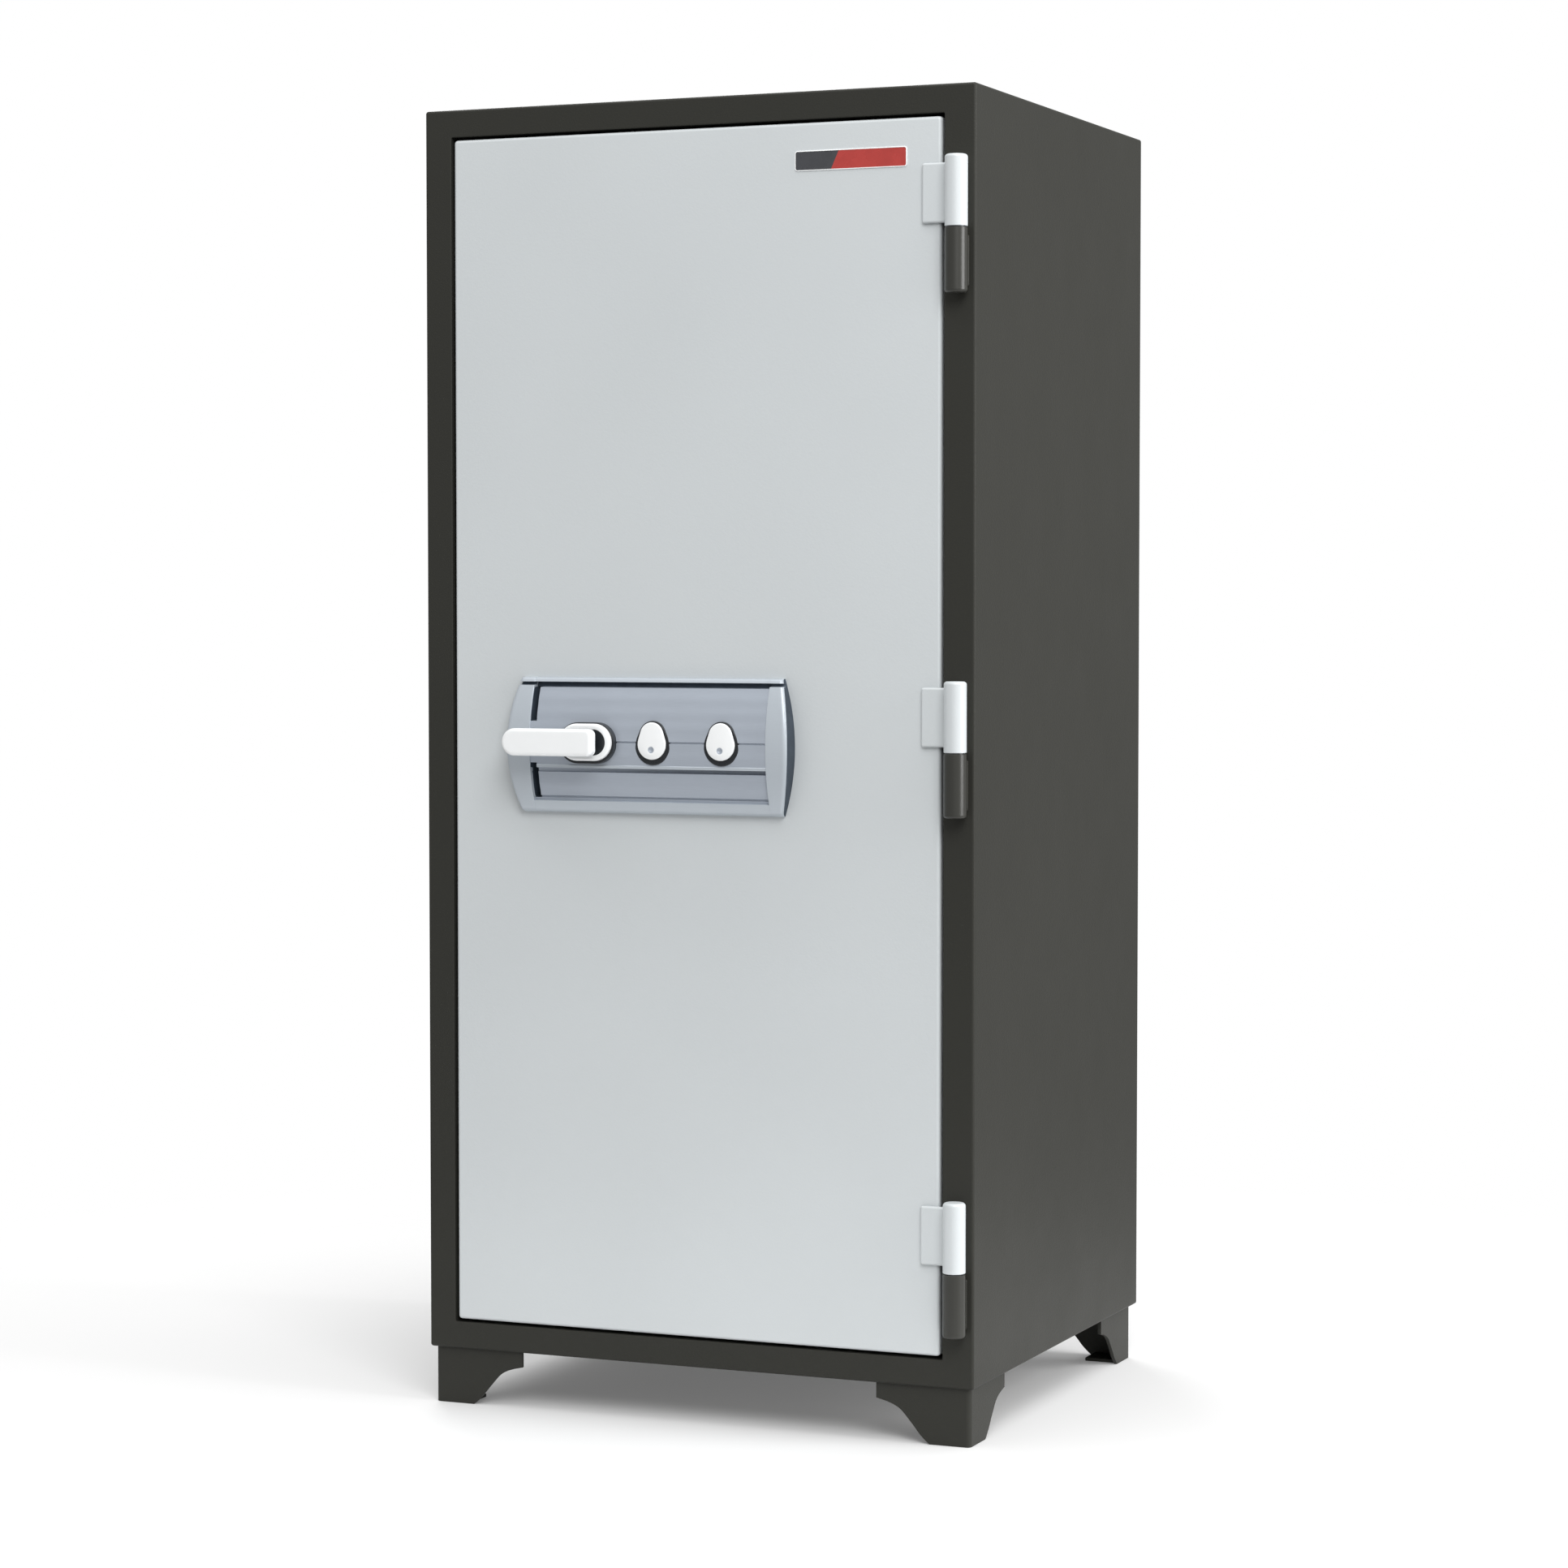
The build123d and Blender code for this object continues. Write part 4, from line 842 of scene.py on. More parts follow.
def build_cabinet_hinge(node):
    """Lower knuckle on its weld pad, painted with the body."""
    low, high = node_box(node)
    x, y, z = high[0] - KNUCKLE_RADIUS, low[1] + KNUCKLE_RADIUS, high[2]
    length = high[2] - low[2]
    pad_half = 7 * MM
    pad_low = (x - pad_half, y, low[2] + 6 * MM)
    pad_high = (x + pad_half, FACE_Y, high[2] - 6 * MM)
    bm = bmesh.new()
    lathe(bm, (x, y, z), "Z", [(r, -along) for r, along in knuckle_profile(length)])
    soft_block(bm, pad_low, pad_high, edge=0.8 * MM, segments=2, slot_index=1)
    for side in (-1, 1):
        foot = (x + side * (pad_half + 1 * MM), FACE_Y - 0.6 * MM, pad_low[2] + 1 * MM)
        lathe(bm, foot, "Z", weld_bead(length - 13 * MM), steps=12, slot_index=1)
    name = node.replace("hinge_cabinet", "cabinet_knuckle")
    finish_piece(name, bm, "cabinet", ["knuckle", "body"], [node])


# --------------------------------------------------------------- lock panel

PANEL_LOW, PANEL_HIGH = node_box("lock_panel")
SPINDLE_X, _, SPINDLE_Z = middle(*node_box("handle_spindle"))
CAP_LEFT_HIGH = node_box("lock_panel_cap_left")[1]
CAP_RIGHT_LOW = node_box("lock_panel_cap_right")[0]
PANEL_Z = (PANEL_LOW[2] + PANEL_HIGH[2]) / 2
PANEL_HALF = (PANEL_HIGH[2] - PANEL_LOW[2]) / 2
EDGE_DEPTH = 8 * MM
CROWN = FACE_Y - PANEL_LOW[1]
LEFT_JOINT = CAP_LEFT_HIGH[0] - 4 * MM
RIGHT_JOINT = CAP_RIGHT_LOW[0]
END_BOW = 11 * MM
UPPER_ROUND = 2.5 * MM
LOWER_ROUND = 5 * MM

# Heights from the panel's middle: top rail, field, cross groove, lip, lower step and bottom rail.
RAIL = 68 * MM
CAP_TOP = 64.5 * MM
FIELD_TOP = 62.5 * MM
GROOVE_Z = 4 * MM
GROOVE_HALF = 0.8 * MM
LIP_Z = -21 * MM
STEP_Z = -24.5 * MM
STEP_GROOVE_Z = -28.5 * MM
LOWER_GROOVE = -56 * MM
LOWER_GROOVE_HALF = 1 * MM
LOWER_RAIL = -60 * MM

# How far each band lies below the arch; the groove under the lip deepens toward the right.
TOP_CHANNEL_DEPTH = 8.5 * MM
LOWER_GROOVE_DEPTH = 5 * MM
STEP_GROOVE_DEPTH = (4.5 * MM, 10 * MM)
STEP_GROOVE_RUN = 170 * MM
STEP_DEPTH = 3.2 * MM
GROOVE_DEPTH = 1.6 * MM
LIP_RISE = 0.4 * MM
RAIL_RISE = 0.5 * MM
CAP_RISE = 1 * MM
CAP_GROOVE_DEPTH = 6 * MM
RIB_PITCH = 15.5 * MM

TOP_EDGE_ROWS = [PANEL_HALF - near for near in (0.1 * MM, 0.5 * MM, 1.2 * MM)]

# Two slots between the left cap and the field, their faces painted dark as shade: heights, place across,
# depth and sloped ends.
SLOTS = ((26 * MM, 63 * MM), (-57 * MM, -19 * MM))
SLOT_ACROSS = (0.4 * MM, 7.4 * MM)
SLOT_DEPTH = 13 * MM
SLOT_SLOPE = 1.2 * MM


def arch(z):
    """Proudness of the panel's arch at a height from its middle."""
    return EDGE_DEPTH + (CROWN - EDGE_DEPTH) * (1 - (z / PANEL_HALF) ** 2)


def edge_fall(z, radius):
    """How far the front drops back near the panel's top or bottom edge."""
    near = PANEL_HALF - abs(z)
    if near >= radius:
        return 0.0
    return radius - math.sqrt(max(radius ** 2 - (radius - near) ** 2, 0.0))


def field_height(x, z):
    """Proudness of the panel's centre: rails, grooves, ribs and the two-step field."""
    rib_depth = bpy.context.scene.cabinet_edges.rib_depth
    height = arch(z)
    if z > RAIL:
        return height - edge_fall(z, UPPER_ROUND)
    if z > FIELD_TOP:
        return height - TOP_CHANNEL_DEPTH
    if z < LOWER_RAIL:
        return height + RAIL_RISE - edge_fall(z, LOWER_ROUND)
    if abs(z - LOWER_GROOVE) < LOWER_GROOVE_HALF:
        return height - LOWER_GROOVE_DEPTH
    if STEP_Z < z < LIP_Z:
        return height + LIP_RISE
    if STEP_GROOVE_Z < z < STEP_Z:
        along = max(0.0, min(1.0, (x - PANEL_LOW[0]) / STEP_GROOVE_RUN))
        shallow, deep = STEP_GROOVE_DEPTH
        return height - (shallow + (deep - shallow) * along)
    if z < STEP_Z:
        height -= STEP_DEPTH
    elif abs(z - GROOVE_Z) < GROOVE_HALF and x > SPINDLE_X:
        height -= GROOVE_DEPTH
    rib = 0.5 - 0.5 * math.cos(2 * math.pi * (z - GROOVE_Z) / RIB_PITCH)
    return height - rib_depth * rib


def left_slot(x, z):
    """Depth of the two dark slots between the left cap and the field."""
    if not SLOT_ACROSS[0] < x - LEFT_JOINT < SLOT_ACROSS[1]:
        return 0.0
    for low, high in SLOTS:
        if low < z < high:
            return SLOT_DEPTH * min(1.0, (z - low) / SLOT_SLOPE, (high - z) / SLOT_SLOPE)
    return 0.0


def grid_panel(name, columns, heights, x_at, height_at, finishes, finish_at, nodes, dark_end=False):
    """A panel whose front is a height map over columns and rows, closed back to the door's face."""
    least = 0.2 * MM
    bm = bmesh.new()
    front = []
    back = []
    for column in columns:
        front.append([])
        back.append([])
        for z in heights:
            x = x_at(column, z)
            y = FACE_Y - max(height_at(x, z), least)
            front[-1].append(bm.verts.new((x, y, PANEL_Z + z)))
            back[-1].append(bm.verts.new((x, FACE_Y, PANEL_Z + z)))
    last_c = len(columns) - 1
    last_r = len(heights) - 1
    for c in range(last_c):
        for r in range(last_r):
            face = bm.faces.new((front[c][r], front[c + 1][r], front[c + 1][r + 1], front[c][r + 1]))
            face.material_index = finish_at(face.calc_center_median())
            bm.faces.new((back[c][r], back[c][r + 1], back[c + 1][r + 1], back[c + 1][r]))
        for r in (0, last_r):
            bm.faces.new((front[c][r], front[c + 1][r], back[c + 1][r], back[c][r]))
    for c in (0, last_c):
        for r in range(last_r):
            side = bm.faces.new((front[c][r], front[c][r + 1], back[c][r + 1], back[c][r]))
            if dark_end and c == last_c:
                side.material_index = 1
    finish_piece(name, bm, "door", finishes, nodes, smooth=40)


def clear_of(rows, marks):
    """Heights that keep clear of every mark."""
    clear = 0.8 * MM
    return [z for z in rows if all(abs(z - mark) > clear for mark in marks)]


def close_about(marks, spread):
    """A pair of heights close about each mark."""
    return [mark + side * spread for mark in marks for side in (-1, 1)]


def field_rows():
    """Heights from the middle at which the panel's section has its corners."""
    pitch = 2.4 * MM
    marks = [
        RAIL, FIELD_TOP, GROOVE_Z + GROOVE_HALF, GROOVE_Z - GROOVE_HALF, LIP_Z, STEP_Z, STEP_GROOVE_Z,
        LOWER_GROOVE + LOWER_GROOVE_HALF, LOWER_GROOVE - LOWER_GROOVE_HALF, LOWER_RAIL,
    ]
    rows = [-PANEL_HALF + pitch * step for step in range(int(2 * PANEL_HALF / pitch) + 1)]
    rows = clear_of(rows + [PANEL_HALF], marks) + close_about(marks, 0.35 * MM) + TOP_EDGE_ROWS
    rows += [-PANEL_HALF + 0.2 * MM, -PANEL_HALF + 1 * MM]
    for low, high in SLOTS:
        rows += [low, low + SLOT_SLOPE, high - SLOT_SLOPE, high]
    return sorted(set(rows))


def build_panel_centre():
    """Arched centre of the lock panel, with its rails, ribs, grooves and slots."""
    beside_slots = [0, 0.3, 0.7, 3.5, 7.1, 7.7, 12, 30]
    columns = [LEFT_JOINT + across * MM for across in beside_slots]
    start = columns[-1]
    spans = 24
    columns += [start + (RIGHT_JOINT - start) * step / spans for step in range(1, spans + 1)]

    def x_at(column, z):
        return column

    def height_at(x, z):
        return field_height(x, z) - left_slot(x, z)

    def finish_at(point):
        z = point.z - PANEL_Z
        # Painted shade: the two slots and the channel under the top rail take the dark end finish.
        if left_slot(point.x, z) > 0 or FIELD_TOP < z < RAIL:
            return 1
        # Painted highlight: the two rails and the lip take the lighter cap finish.
        return 2 if z > RAIL or z < LOWER_RAIL or STEP_Z < z < LIP_Z else 0

    grid_panel("panel_centre", columns, field_rows(), x_at, height_at, ["silver_and_dimple_shade", "dark_end_and_painted_shade", "cap"],
               finish_at, ["lock_panel"])


def build_panel_cap(name, node, joint, side):
    """End cap: the panel's arch with a rounded end that bows outward."""
    low, high = node_box(node)
    tip = high[0] if side > 0 else low[0]
    end_round = 4 * MM
    shares = [0, 0.02, 0.3, 0.6, 0.78, 0.84, 0.9, 0.94, 0.97, 0.99, 1.0]
    marks = (CAP_TOP, RAIL)
    steps = 60
    rows = [-PANEL_HALF + 2 * PANEL_HALF * step / steps for step in range(steps + 1)]
    rows = clear_of(rows, marks) + close_about(marks, 0.3 * MM) + TOP_EDGE_ROWS
    rows = sorted(set(rows + [-PANEL_HALF + 0.2 * MM]))

    def end_at(z):
        return tip - side * END_BOW * (z / PANEL_HALF) ** 2

    def x_at(share, z):
        return joint + (end_at(z) - joint) * share

    def height_at(x, z):
        near = min(abs(end_at(z) - x), end_round)
        fall = end_round - math.sqrt(end_round ** 2 - (end_round - near) ** 2)
        lip = 0.3 * MM if abs(x - joint) < 0.2 * MM else 0.0
        edge = edge_fall(z, LOWER_ROUND if z < 0 else UPPER_ROUND)
        groove = CAP_GROOVE_DEPTH if CAP_TOP < z < RAIL else 0.0
        return arch(z) + CAP_RISE - edge - 0.8 * fall - lip - groove

    def finish_at(point):
        # Painted shade: the groove under the top rail takes the dark end finish.
        return int(CAP_TOP < point.z - PANEL_Z < RAIL)

    grid_panel(name, shares, rows, x_at, height_at, ["cap", "dark_end_and_painted_shade"], finish_at, [node],
               dark_end=True)


# ---------------------------------------------------- lever, keys and badge

# The lever's arm, and the collar and neck behind it.
LEVER_LOW, LEVER_HIGH = node_box("lever_handle")
LEVER_HALF = (LEVER_HIGH[2] - LEVER_LOW[2]) / 2
LEVER_CORNER = 7 * MM
LEVER_END_GAP = 2.5 * MM
LEVER_BACK_EDGE = 2.5 * MM
LEVER_THICKNESS = 13 * MM
COLLAR_RADIUS = 12.5 * MM
NECK_RADIUS = 10.6 * MM


def lever_outline(inset, y):
    """Lever seen from the front: a round end on the left and a squarer one on the right."""
    half = LEVER_HALF - inset
    centre_z = LEVER_LOW[2] + LEVER_HALF
    left = LEVER_LOW[0] + LEVER_HALF
    right = LEVER_HIGH[0] - LEVER_END_GAP - inset
    corner = max(LEVER_CORNER - inset, 1 * MM)
    points = []
    for step in range(25):
        turn = math.radians(90 + 180 * step / 24)
        points.append((left + half * math.cos(turn), y, centre_z + half * math.sin(turn)))
    for start, side in ((-90, -1), (0, 1)):
        for step in range(9):
            turn = math.radians(start + 90 * step / 8)
            points.append((
                right - corner + corner * math.cos(turn), y,
                centre_z + side * (half - corner) + corner * math.sin(turn),
            ))
    return points


def build_lever():
    """Lever arm with soft edges, and its neck painted black as shade behind the arm."""
    edge = bpy.context.scene.cabinet_edges.lever_edge
    front = LEVER_LOW[1]
    back = front + LEVER_THICKNESS
    end = LEVER_HIGH[1]
    bm = bmesh.new()
    rings = [
        lever_outline(inset, back - LEVER_BACK_EDGE + rise)
        for inset, rise in reversed(quarter_round(LEVER_BACK_EDGE, 4))
    ]
    rings += [lever_outline(inset, front + edge - rise) for inset, rise in quarter_round(edge, 6)]
    rings.append(lever_outline(edge + 2.5 * MM, front))
    loft(bm, rings)
    neck = [
        (0, back - 3 * MM), (COLLAR_RADIUS, back - 3 * MM), (COLLAR_RADIUS, back),
        (NECK_RADIUS + 0.6 * MM, back + 1.2 * MM), (NECK_RADIUS, back + 3 * MM),
        (NECK_RADIUS, end - 2 * MM), (NECK_RADIUS + 0.9 * MM, end - 0.6 * MM),
        (NECK_RADIUS + 0.7 * MM, end), (0, end),
    ]
    # Painted shade: the neck takes the black finish.
    turns = bpy.context.scene.cabinet_edges.turns
    lathe(bm, (SPINDLE_X, 0, SPINDLE_Z), "Y", neck, turns, slot_index=1)
    finish_piece("lever", bm, "handle", ["nickel", "black_and_painted_shade"], ["lever_handle"])


# The rose, and the black seat that it stands on.
ROSE_EDGE = 3 * MM
ROSE_RIM = 6 * MM
ROSE_THICKNESS = 5 * MM
SEAT_OVERHANG = 2.2 * MM
SEAT_DROP = 1 * MM
SEAT_EDGE = 1 * MM


def build_rose():
    """Rose with a soft edge and a recess painted black as shade, on a black seat a little larger than
    itself.
    """
    low, high = node_box("handle_rose")
    x, _, z = middle(low, high)
    radius = (high[2] - low[2]) / 2
    half_length = (high[0] - low[0]) / 2 - radius
    front = low[1]
    seat = front + ROSE_THICKNESS

    def rose(inset, y):
        return stadium_outline(x, z, half_length, radius, inset, y)

    def base(inset, y):
        return stadium_outline(x, z - SEAT_DROP, half_length, radius + SEAT_OVERHANG, inset, y)

    bm = bmesh.new()
    rings = [rose(0, seat + 0.5 * MM)]
    rings += [rose(inset, front + ROSE_EDGE - rise) for inset, rise in quarter_round(ROSE_EDGE, 5)]
    rings += [rose(ROSE_RIM - 0.5 * MM, front), rose(ROSE_RIM, front + 0.3 * MM)]
    loft(bm, rings, closed_ends=False)
    # Painted shade: the recess takes the black finish.
    recess = [
        rose(ROSE_RIM, front + 0.3 * MM),
        rose(ROSE_RIM + 0.2 * MM, front + 4 * MM),
        rose(ROSE_RIM + 2 * MM, front + 4.6 * MM),
    ]
    loft(bm, recess, slot_index=1)
    soft_plate(bm, base, high[1], seat, SEAT_EDGE, slot_index=1)
    finish_piece("rose", bm, "door", ["nickel", "black_and_painted_shade"], ["handle_rose"])


# Key plates, with the radii of their lower and upper ends, and the drop covers over them.
PLATE_RADII = (20.5 * MM, 16 * MM)
PLATE_EDGE = 1.2 * MM
KEYHOLE_RISE = 3.5 * MM
KEYHOLE_HALF = (2.2 * MM, 6 * MM)
COVER_RADII = (16.5 * MM, 13.5 * MM)
COVER_THICKNESS = 3.5 * MM
COVER_BACK_EDGE = 0.7 * MM
COVER_DOME = 0.9 * MM
DIMPLE_RISE = 10.6 * MM
DIMPLE_RADIUS = 4.4 * MM
DIMPLE_DEPTH = 1.5 * MM
DIMPLE_SHADED = 0.8
STUD_DROP = 7 * MM
STUD_RADIUS = 2 * MM


def egg_between(low, high, radii):
    """Outline maker for an egg shape that fills the height of a box, and the height of its lower centre."""
    x = middle(low, high)[0]
    low_z = low[2] + radii[0]
    high_z = high[2] - radii[1]

    def outline(inset, y):
        return egg_outline(x, low_z, radii[0], high_z, radii[1], inset, y)

    return outline, low_z


def build_key_plate(side):
    """Black key plate round its keyhole."""
    node = "key_escutcheon_" + side
    low, high = node_box(node)
    x = middle(low, high)[0]
    outline, low_z = egg_between(low, high, PLATE_RADII)

    def keyhole(y):
        """A narrow upright slot, with as many points as the outline."""
        count = len(outline(0, y))
        lead = 0.02
        points = []
        for step in range(count):
            turn = 2 * math.pi * (step / count - lead)
            across = KEYHOLE_HALF[0] * max(-1, min(1, 3.2 * math.cos(turn)))
            along = KEYHOLE_HALF[1] * max(-1, min(1, 1.15 * math.sin(turn)))
            points.append((x + across, y, low_z + KEYHOLE_RISE + along))
        return points

    front = low[1]
    back = high[1] + 3 * MM
    rings = [outline(0, back)]
    rings += [outline(inset, front + PLATE_EDGE - rise) for inset, rise in quarter_round(PLATE_EDGE, 4)]
    rings += [keyhole(front), keyhole(back)]
    bm = bmesh.new()
    loft(bm, rings, joined=True)
    finish_piece("key_plate_" + side, bm, "door", ["black_and_painted_shade"], [node])


def build_key_cover(side):
    """Domed drop cover with a finger dimple, painted grey inside as shade, hung from a stud on its back."""
    node = "key_cover_" + side
    low, high = node_box(node)
    x = middle(low, high)[0]
    edge = bpy.context.scene.cabinet_edges.cover_edge
    top = low[1]
    front = top + COVER_DOME
    back = top + COVER_THICKNESS
    outline, _ = egg_between(low, high, COVER_RADII)
    rings = [
        outline(inset, back - COVER_BACK_EDGE + rise)
        for inset, rise in reversed(quarter_round(COVER_BACK_EDGE, 3))
    ]
    rings += [outline(inset, front + edge - rise) for inset, rise in quarter_round(edge, 5)]
    rim = rings[-1]
    hollow = (x, low[2] + DIMPLE_RISE)

    def drawn_in(point, reach, radius, y):
        """A rim point drawn in to a radius round the hollow, and back out by a share of its way."""
        across, along = point[0] - hollow[0], point[2] - hollow[1]
        length = math.hypot(across, along)
        scale = (radius + (length - DIMPLE_RADIUS) * reach) / length
        return (hollow[0] + across * scale, y, hollow[1] + along * scale)

    steps = 12
    for step in range(1, steps + 1):
        reach = 1 - step / steps
        y = front - COVER_DOME * (1 - reach ** 2)
        rings.append([drawn_in(point, reach, DIMPLE_RADIUS, y) for point in rim])
    for share in (0.9, DIMPLE_SHADED, 0.65, 0.5, 0.35, 0.2):
        y = top + DIMPLE_DEPTH * (0.5 + 0.5 * math.cos(math.pi * share))
        rings.append([drawn_in(point, 0, share * DIMPLE_RADIUS, y) for point in rim])
    rings.append([(hollow[0], top + DIMPLE_DEPTH, hollow[1])])
    bm = bmesh.new()
    loft(bm, rings)
    # Painted shade: faces inside the hollow take the grey silver finish.
    for face in bm.faces:
        spot = face.calc_center_median()
        away = math.hypot(spot.x - hollow[0], spot.z - hollow[1])
        if spot.y < back - 1 * MM and away < DIMPLE_SHADED * DIMPLE_RADIUS:
            face.material_index = 1
    stud = [(0, back - 1 * MM), (STUD_RADIUS, back - 1 * MM), (STUD_RADIUS, high[1]), (0, high[1])]
    lathe(bm, (x, 0, high[2] - STUD_DROP), "Y", stud, steps=24)
    finish_piece("drop_cover_" + side, bm, "cover_" + side, ["nickel", "silver_and_dimple_shade"], [node])


def build_badge():
    """Blank two-colour enamel badge with a raised metal rim."""
    low, high = node_box("badge_plate")
    paints = bpy.context.scene.cabinet_paints
    split_x = low[0] + 0.36 * (high[0] - low[0])
    enamel = split_enamel(
        "finish_badge", paints.badge_dark, paints.badge_bright, split_x, middle(low, high)[2], lean=0.45
    )
    outline = (low[0], high[0], low[2], high[2])
    edge = 0.3 * MM
    rim = 0.9 * MM
    front = low[1]
    section = [
        (0, high[1]), (0, front + edge), (edge, front), (rim, front), (rim + 0.1 * MM, front + 0.35 * MM),
    ]
    bm = bmesh.new()
    loft(bm, [inset_rectangle(outline, inset, 3 * MM, y) for inset, y in section])
    bm.faces.ensure_lookup_table()
    bm.faces[-1].material_index = 1
    finish_piece("badge", bm, "door", ["nickel", enamel], ["badge_plate"])


# ----------------------------------------------------------------- stage


# The camera's place is in widths of the body, from the foot of its front; its angles are in degrees.
CAMERA_PLACE = (2.6970, -5.9939, 1.2876)
CAMERA_PITCH = 2.6581
CAMERA_TURN = 22.9037

# The floor's half width, and where it fades into the surround, in metres from the cabinet's middle.
FLOOR_HALF = 5.0
FLOOR_STEPS = 20
FADE_START = 0.6
FADE_END = 1.7
FLOOR_TONES = (0.67, 0.69)


def add_area_light(name, place, target, size, power):
    """A rectangular soft light at a place, aimed at a target."""
    light = bpy.data.lights.new(name, "AREA")
    light.shape = "RECTANGLE"
    light.size, light.size_y = size
    light.energy = power
    lamp = bpy.data.objects.new(name, light)
    lamp.location = place
    aim = Vector(target) - Vector(place)
    lamp.rotation_euler = aim.to_track_quat("-Z", "Y").to_euler()
    bpy.context.scene.collection.objects.link(lamp)


def add_camera(lens):
    """Camera, placed in widths of the body from the foot of the body's front."""
    camera = bpy.data.objects.new("camera", bpy.data.cameras.new("camera"))
    camera.data.lens = lens
    camera.data.sensor_width = 36
    camera.data.clip_end = 100
    camera.data.dof.use_dof = False
    width = BODY_HIGH[0] - BODY_LOW[0]
    across, ahead, up = (share * width for share in CAMERA_PLACE)
    camera.location = (across, FACE_Y + ahead, BODY_LOW[2] + up)
    camera.rotation_euler = (math.radians(90 - CAMERA_PITCH), 0, math.radians(CAMERA_TURN))
    bpy.context.scene.collection.objects.link(camera)
    bpy.context.scene.camera = camera


def studio_world(backdrop, sky):
    """White surround: full strength where it is seen, softer where it lights the cabinet."""
    world = bpy.data.worlds.new("studio")
    world.use_nodes = True
    tree = world.node_tree
    seen = tree.nodes["Background"]
    seen.inputs["Color"].default_value = (1.0, 1.0, 1.0, 1)
    seen.inputs["Strength"].default_value = backdrop
    lighting = tree.nodes.new("ShaderNodeBackground")
    lighting.inputs["Color"].default_value = (1.0, 1.0, 1.0, 1)
    lighting.inputs["Strength"].default_value = sky
    mix = tree.nodes.new("ShaderNodeMixShader")
    rays = tree.nodes.new("ShaderNodeLightPath")
    tree.links.new(rays.outputs["Is Camera Ray"], mix.inputs["Fac"])
    tree.links.new(lighting.outputs["Background"], mix.inputs[1])
    tree.links.new(seen.outputs["Background"], mix.inputs[2])
    tree.links.new(mix.outputs["Shader"], tree.nodes["World Output"].inputs["Surface"])
    return world


def floor_paper(glow):
    """Lit white paper that fades into the surround away from the cabinet."""
    material, tree, shader, place = new_finish("studio_floor_paper", specular=0.1)
    cloud = noise(tree, place, scale=0.7)
    tone = tinted(tree, remap(tree, cloud, 0, 1), *((grey,) * 3 for grey in FLOOR_TONES))
    tree.links.new(tone, shader.inputs["Base Color"])
    shader.inputs["Roughness"].default_value = 0.9
    shader.inputs["Emission Color"].default_value = (1.0, 1.0, 1.0, 1)
    shader.inputs["Emission Strength"].default_value = glow
    distance = tree.nodes.new("ShaderNodeVectorMath")
    distance.operation = "LENGTH"
    tree.links.new(place, distance.inputs[0])
    fade = tree.nodes.new("ShaderNodeMapRange")
    fade.interpolation_type = "SMOOTHSTEP"
    fade.inputs["From Min"].default_value = FADE_START
    fade.inputs["From Max"].default_value = FADE_END
    tree.links.new(distance.outputs["Value"], fade.inputs["Value"])
    clear = tree.nodes.new("ShaderNodeBsdfTransparent")
    mix = tree.nodes.new("ShaderNodeMixShader")
    tree.links.new(fade.outputs["Result"], mix.inputs["Fac"])
    tree.links.new(shader.outputs["BSDF"], mix.inputs[1])
    tree.links.new(clear.outputs["BSDF"], mix.inputs[2])
    tree.links.new(mix.outputs["Shader"], tree.nodes["Material Output"].inputs["Surface"])
    return material


def add_floor(glow):
    """Floor sheet round the cabinet, in small squares."""
    bm = bmesh.new()
    bmesh.ops.create_grid(bm, x_segments=FLOOR_STEPS, y_segments=FLOOR_STEPS, size=FLOOR_HALF)
    mesh = bpy.data.meshes.new("studio_floor")
    bm.to_mesh(mesh)
    bm.free()
    mesh.materials.append(floor_paper(glow))
    floor = bpy.data.objects.new("studio_floor", mesh)
    bpy.context.scene.collection.objects.link(floor)


def build_stage():
    """Floor, white surround, four soft lights and the camera."""
    scene = bpy.context.scene
    studio = scene.cabinet_studio
    scene.view_settings.view_transform = "Standard"
    scene.view_settings.look = "None"
    scene.world = studio_world(studio.backdrop, studio.sky)
    add_floor(studio.floor_glow)
    centre = (0, 0, BODY_HIGH[2] / 2)
    add_area_light("top_light", (0, -0.4, 4.6), (0, -0.2, 0), (5.0, 5.0), studio.top)
    add_area_light("key_light", (2.2, -3.6, 3.6), centre, (2.4, 2.4), studio.key)
    add_area_light("side_light", (3.6, 0.0, 1.6), centre, (1.6, 2.6), studio.side)
    add_area_light("back_light", (-2.4, 3.4, 3.0), centre, (2.0, 2.0), studio.back)
    add_camera(studio.lens)


# ---------------------------------------------------------------- operators


class CABINET_OT_stage(bpy.types.Operator):
    """Make the floor, the light and the camera"""

    bl_idname = "cabinet.stage"
    bl_label = "Stage"

    def execute(self, context):
        build_stage()
        return {"FINISHED"}


class CABINET_OT_casing(bpy.types.Operator):
    """Make the folded casing and the back panel"""

    bl_idname = "cabinet.casing"
    bl_label = "Casing"

    def execute(self, context):
        build_casing()
        build_back_panel()
        return {"FINISHED"}


class CABINET_OT_feet(bpy.types.Operator):
    """Make the four bracket feet"""

    bl_idname = "cabinet.feet"
    bl_label = "Feet"

    def execute(self, context):
        for end in ("front", "rear"):
            for side in ("left", "right"):
                build_foot(f"foot_{end}_{side}")
        dress_node("foot_screws", "zinc")
        return {"FINISHED"}


class CABINET_OT_interior(bpy.types.Operator):
    """Finish the jamb, liner, filling and strike channels, and make the seal"""

    bl_idname = "cabinet.interior"
    bl_label = "Interior"

    def execute(self, context):
        build_seal()
        dress_node("front_frame", "body")
        dress_node("inner_liner", "shelf")
        for part in ("left", "right", "top", "bottom", "back"):
            dress_node("insulation_" + part, "filling")
        dress_node("strike_channels", "zinc")
        return {"FINISHED"}


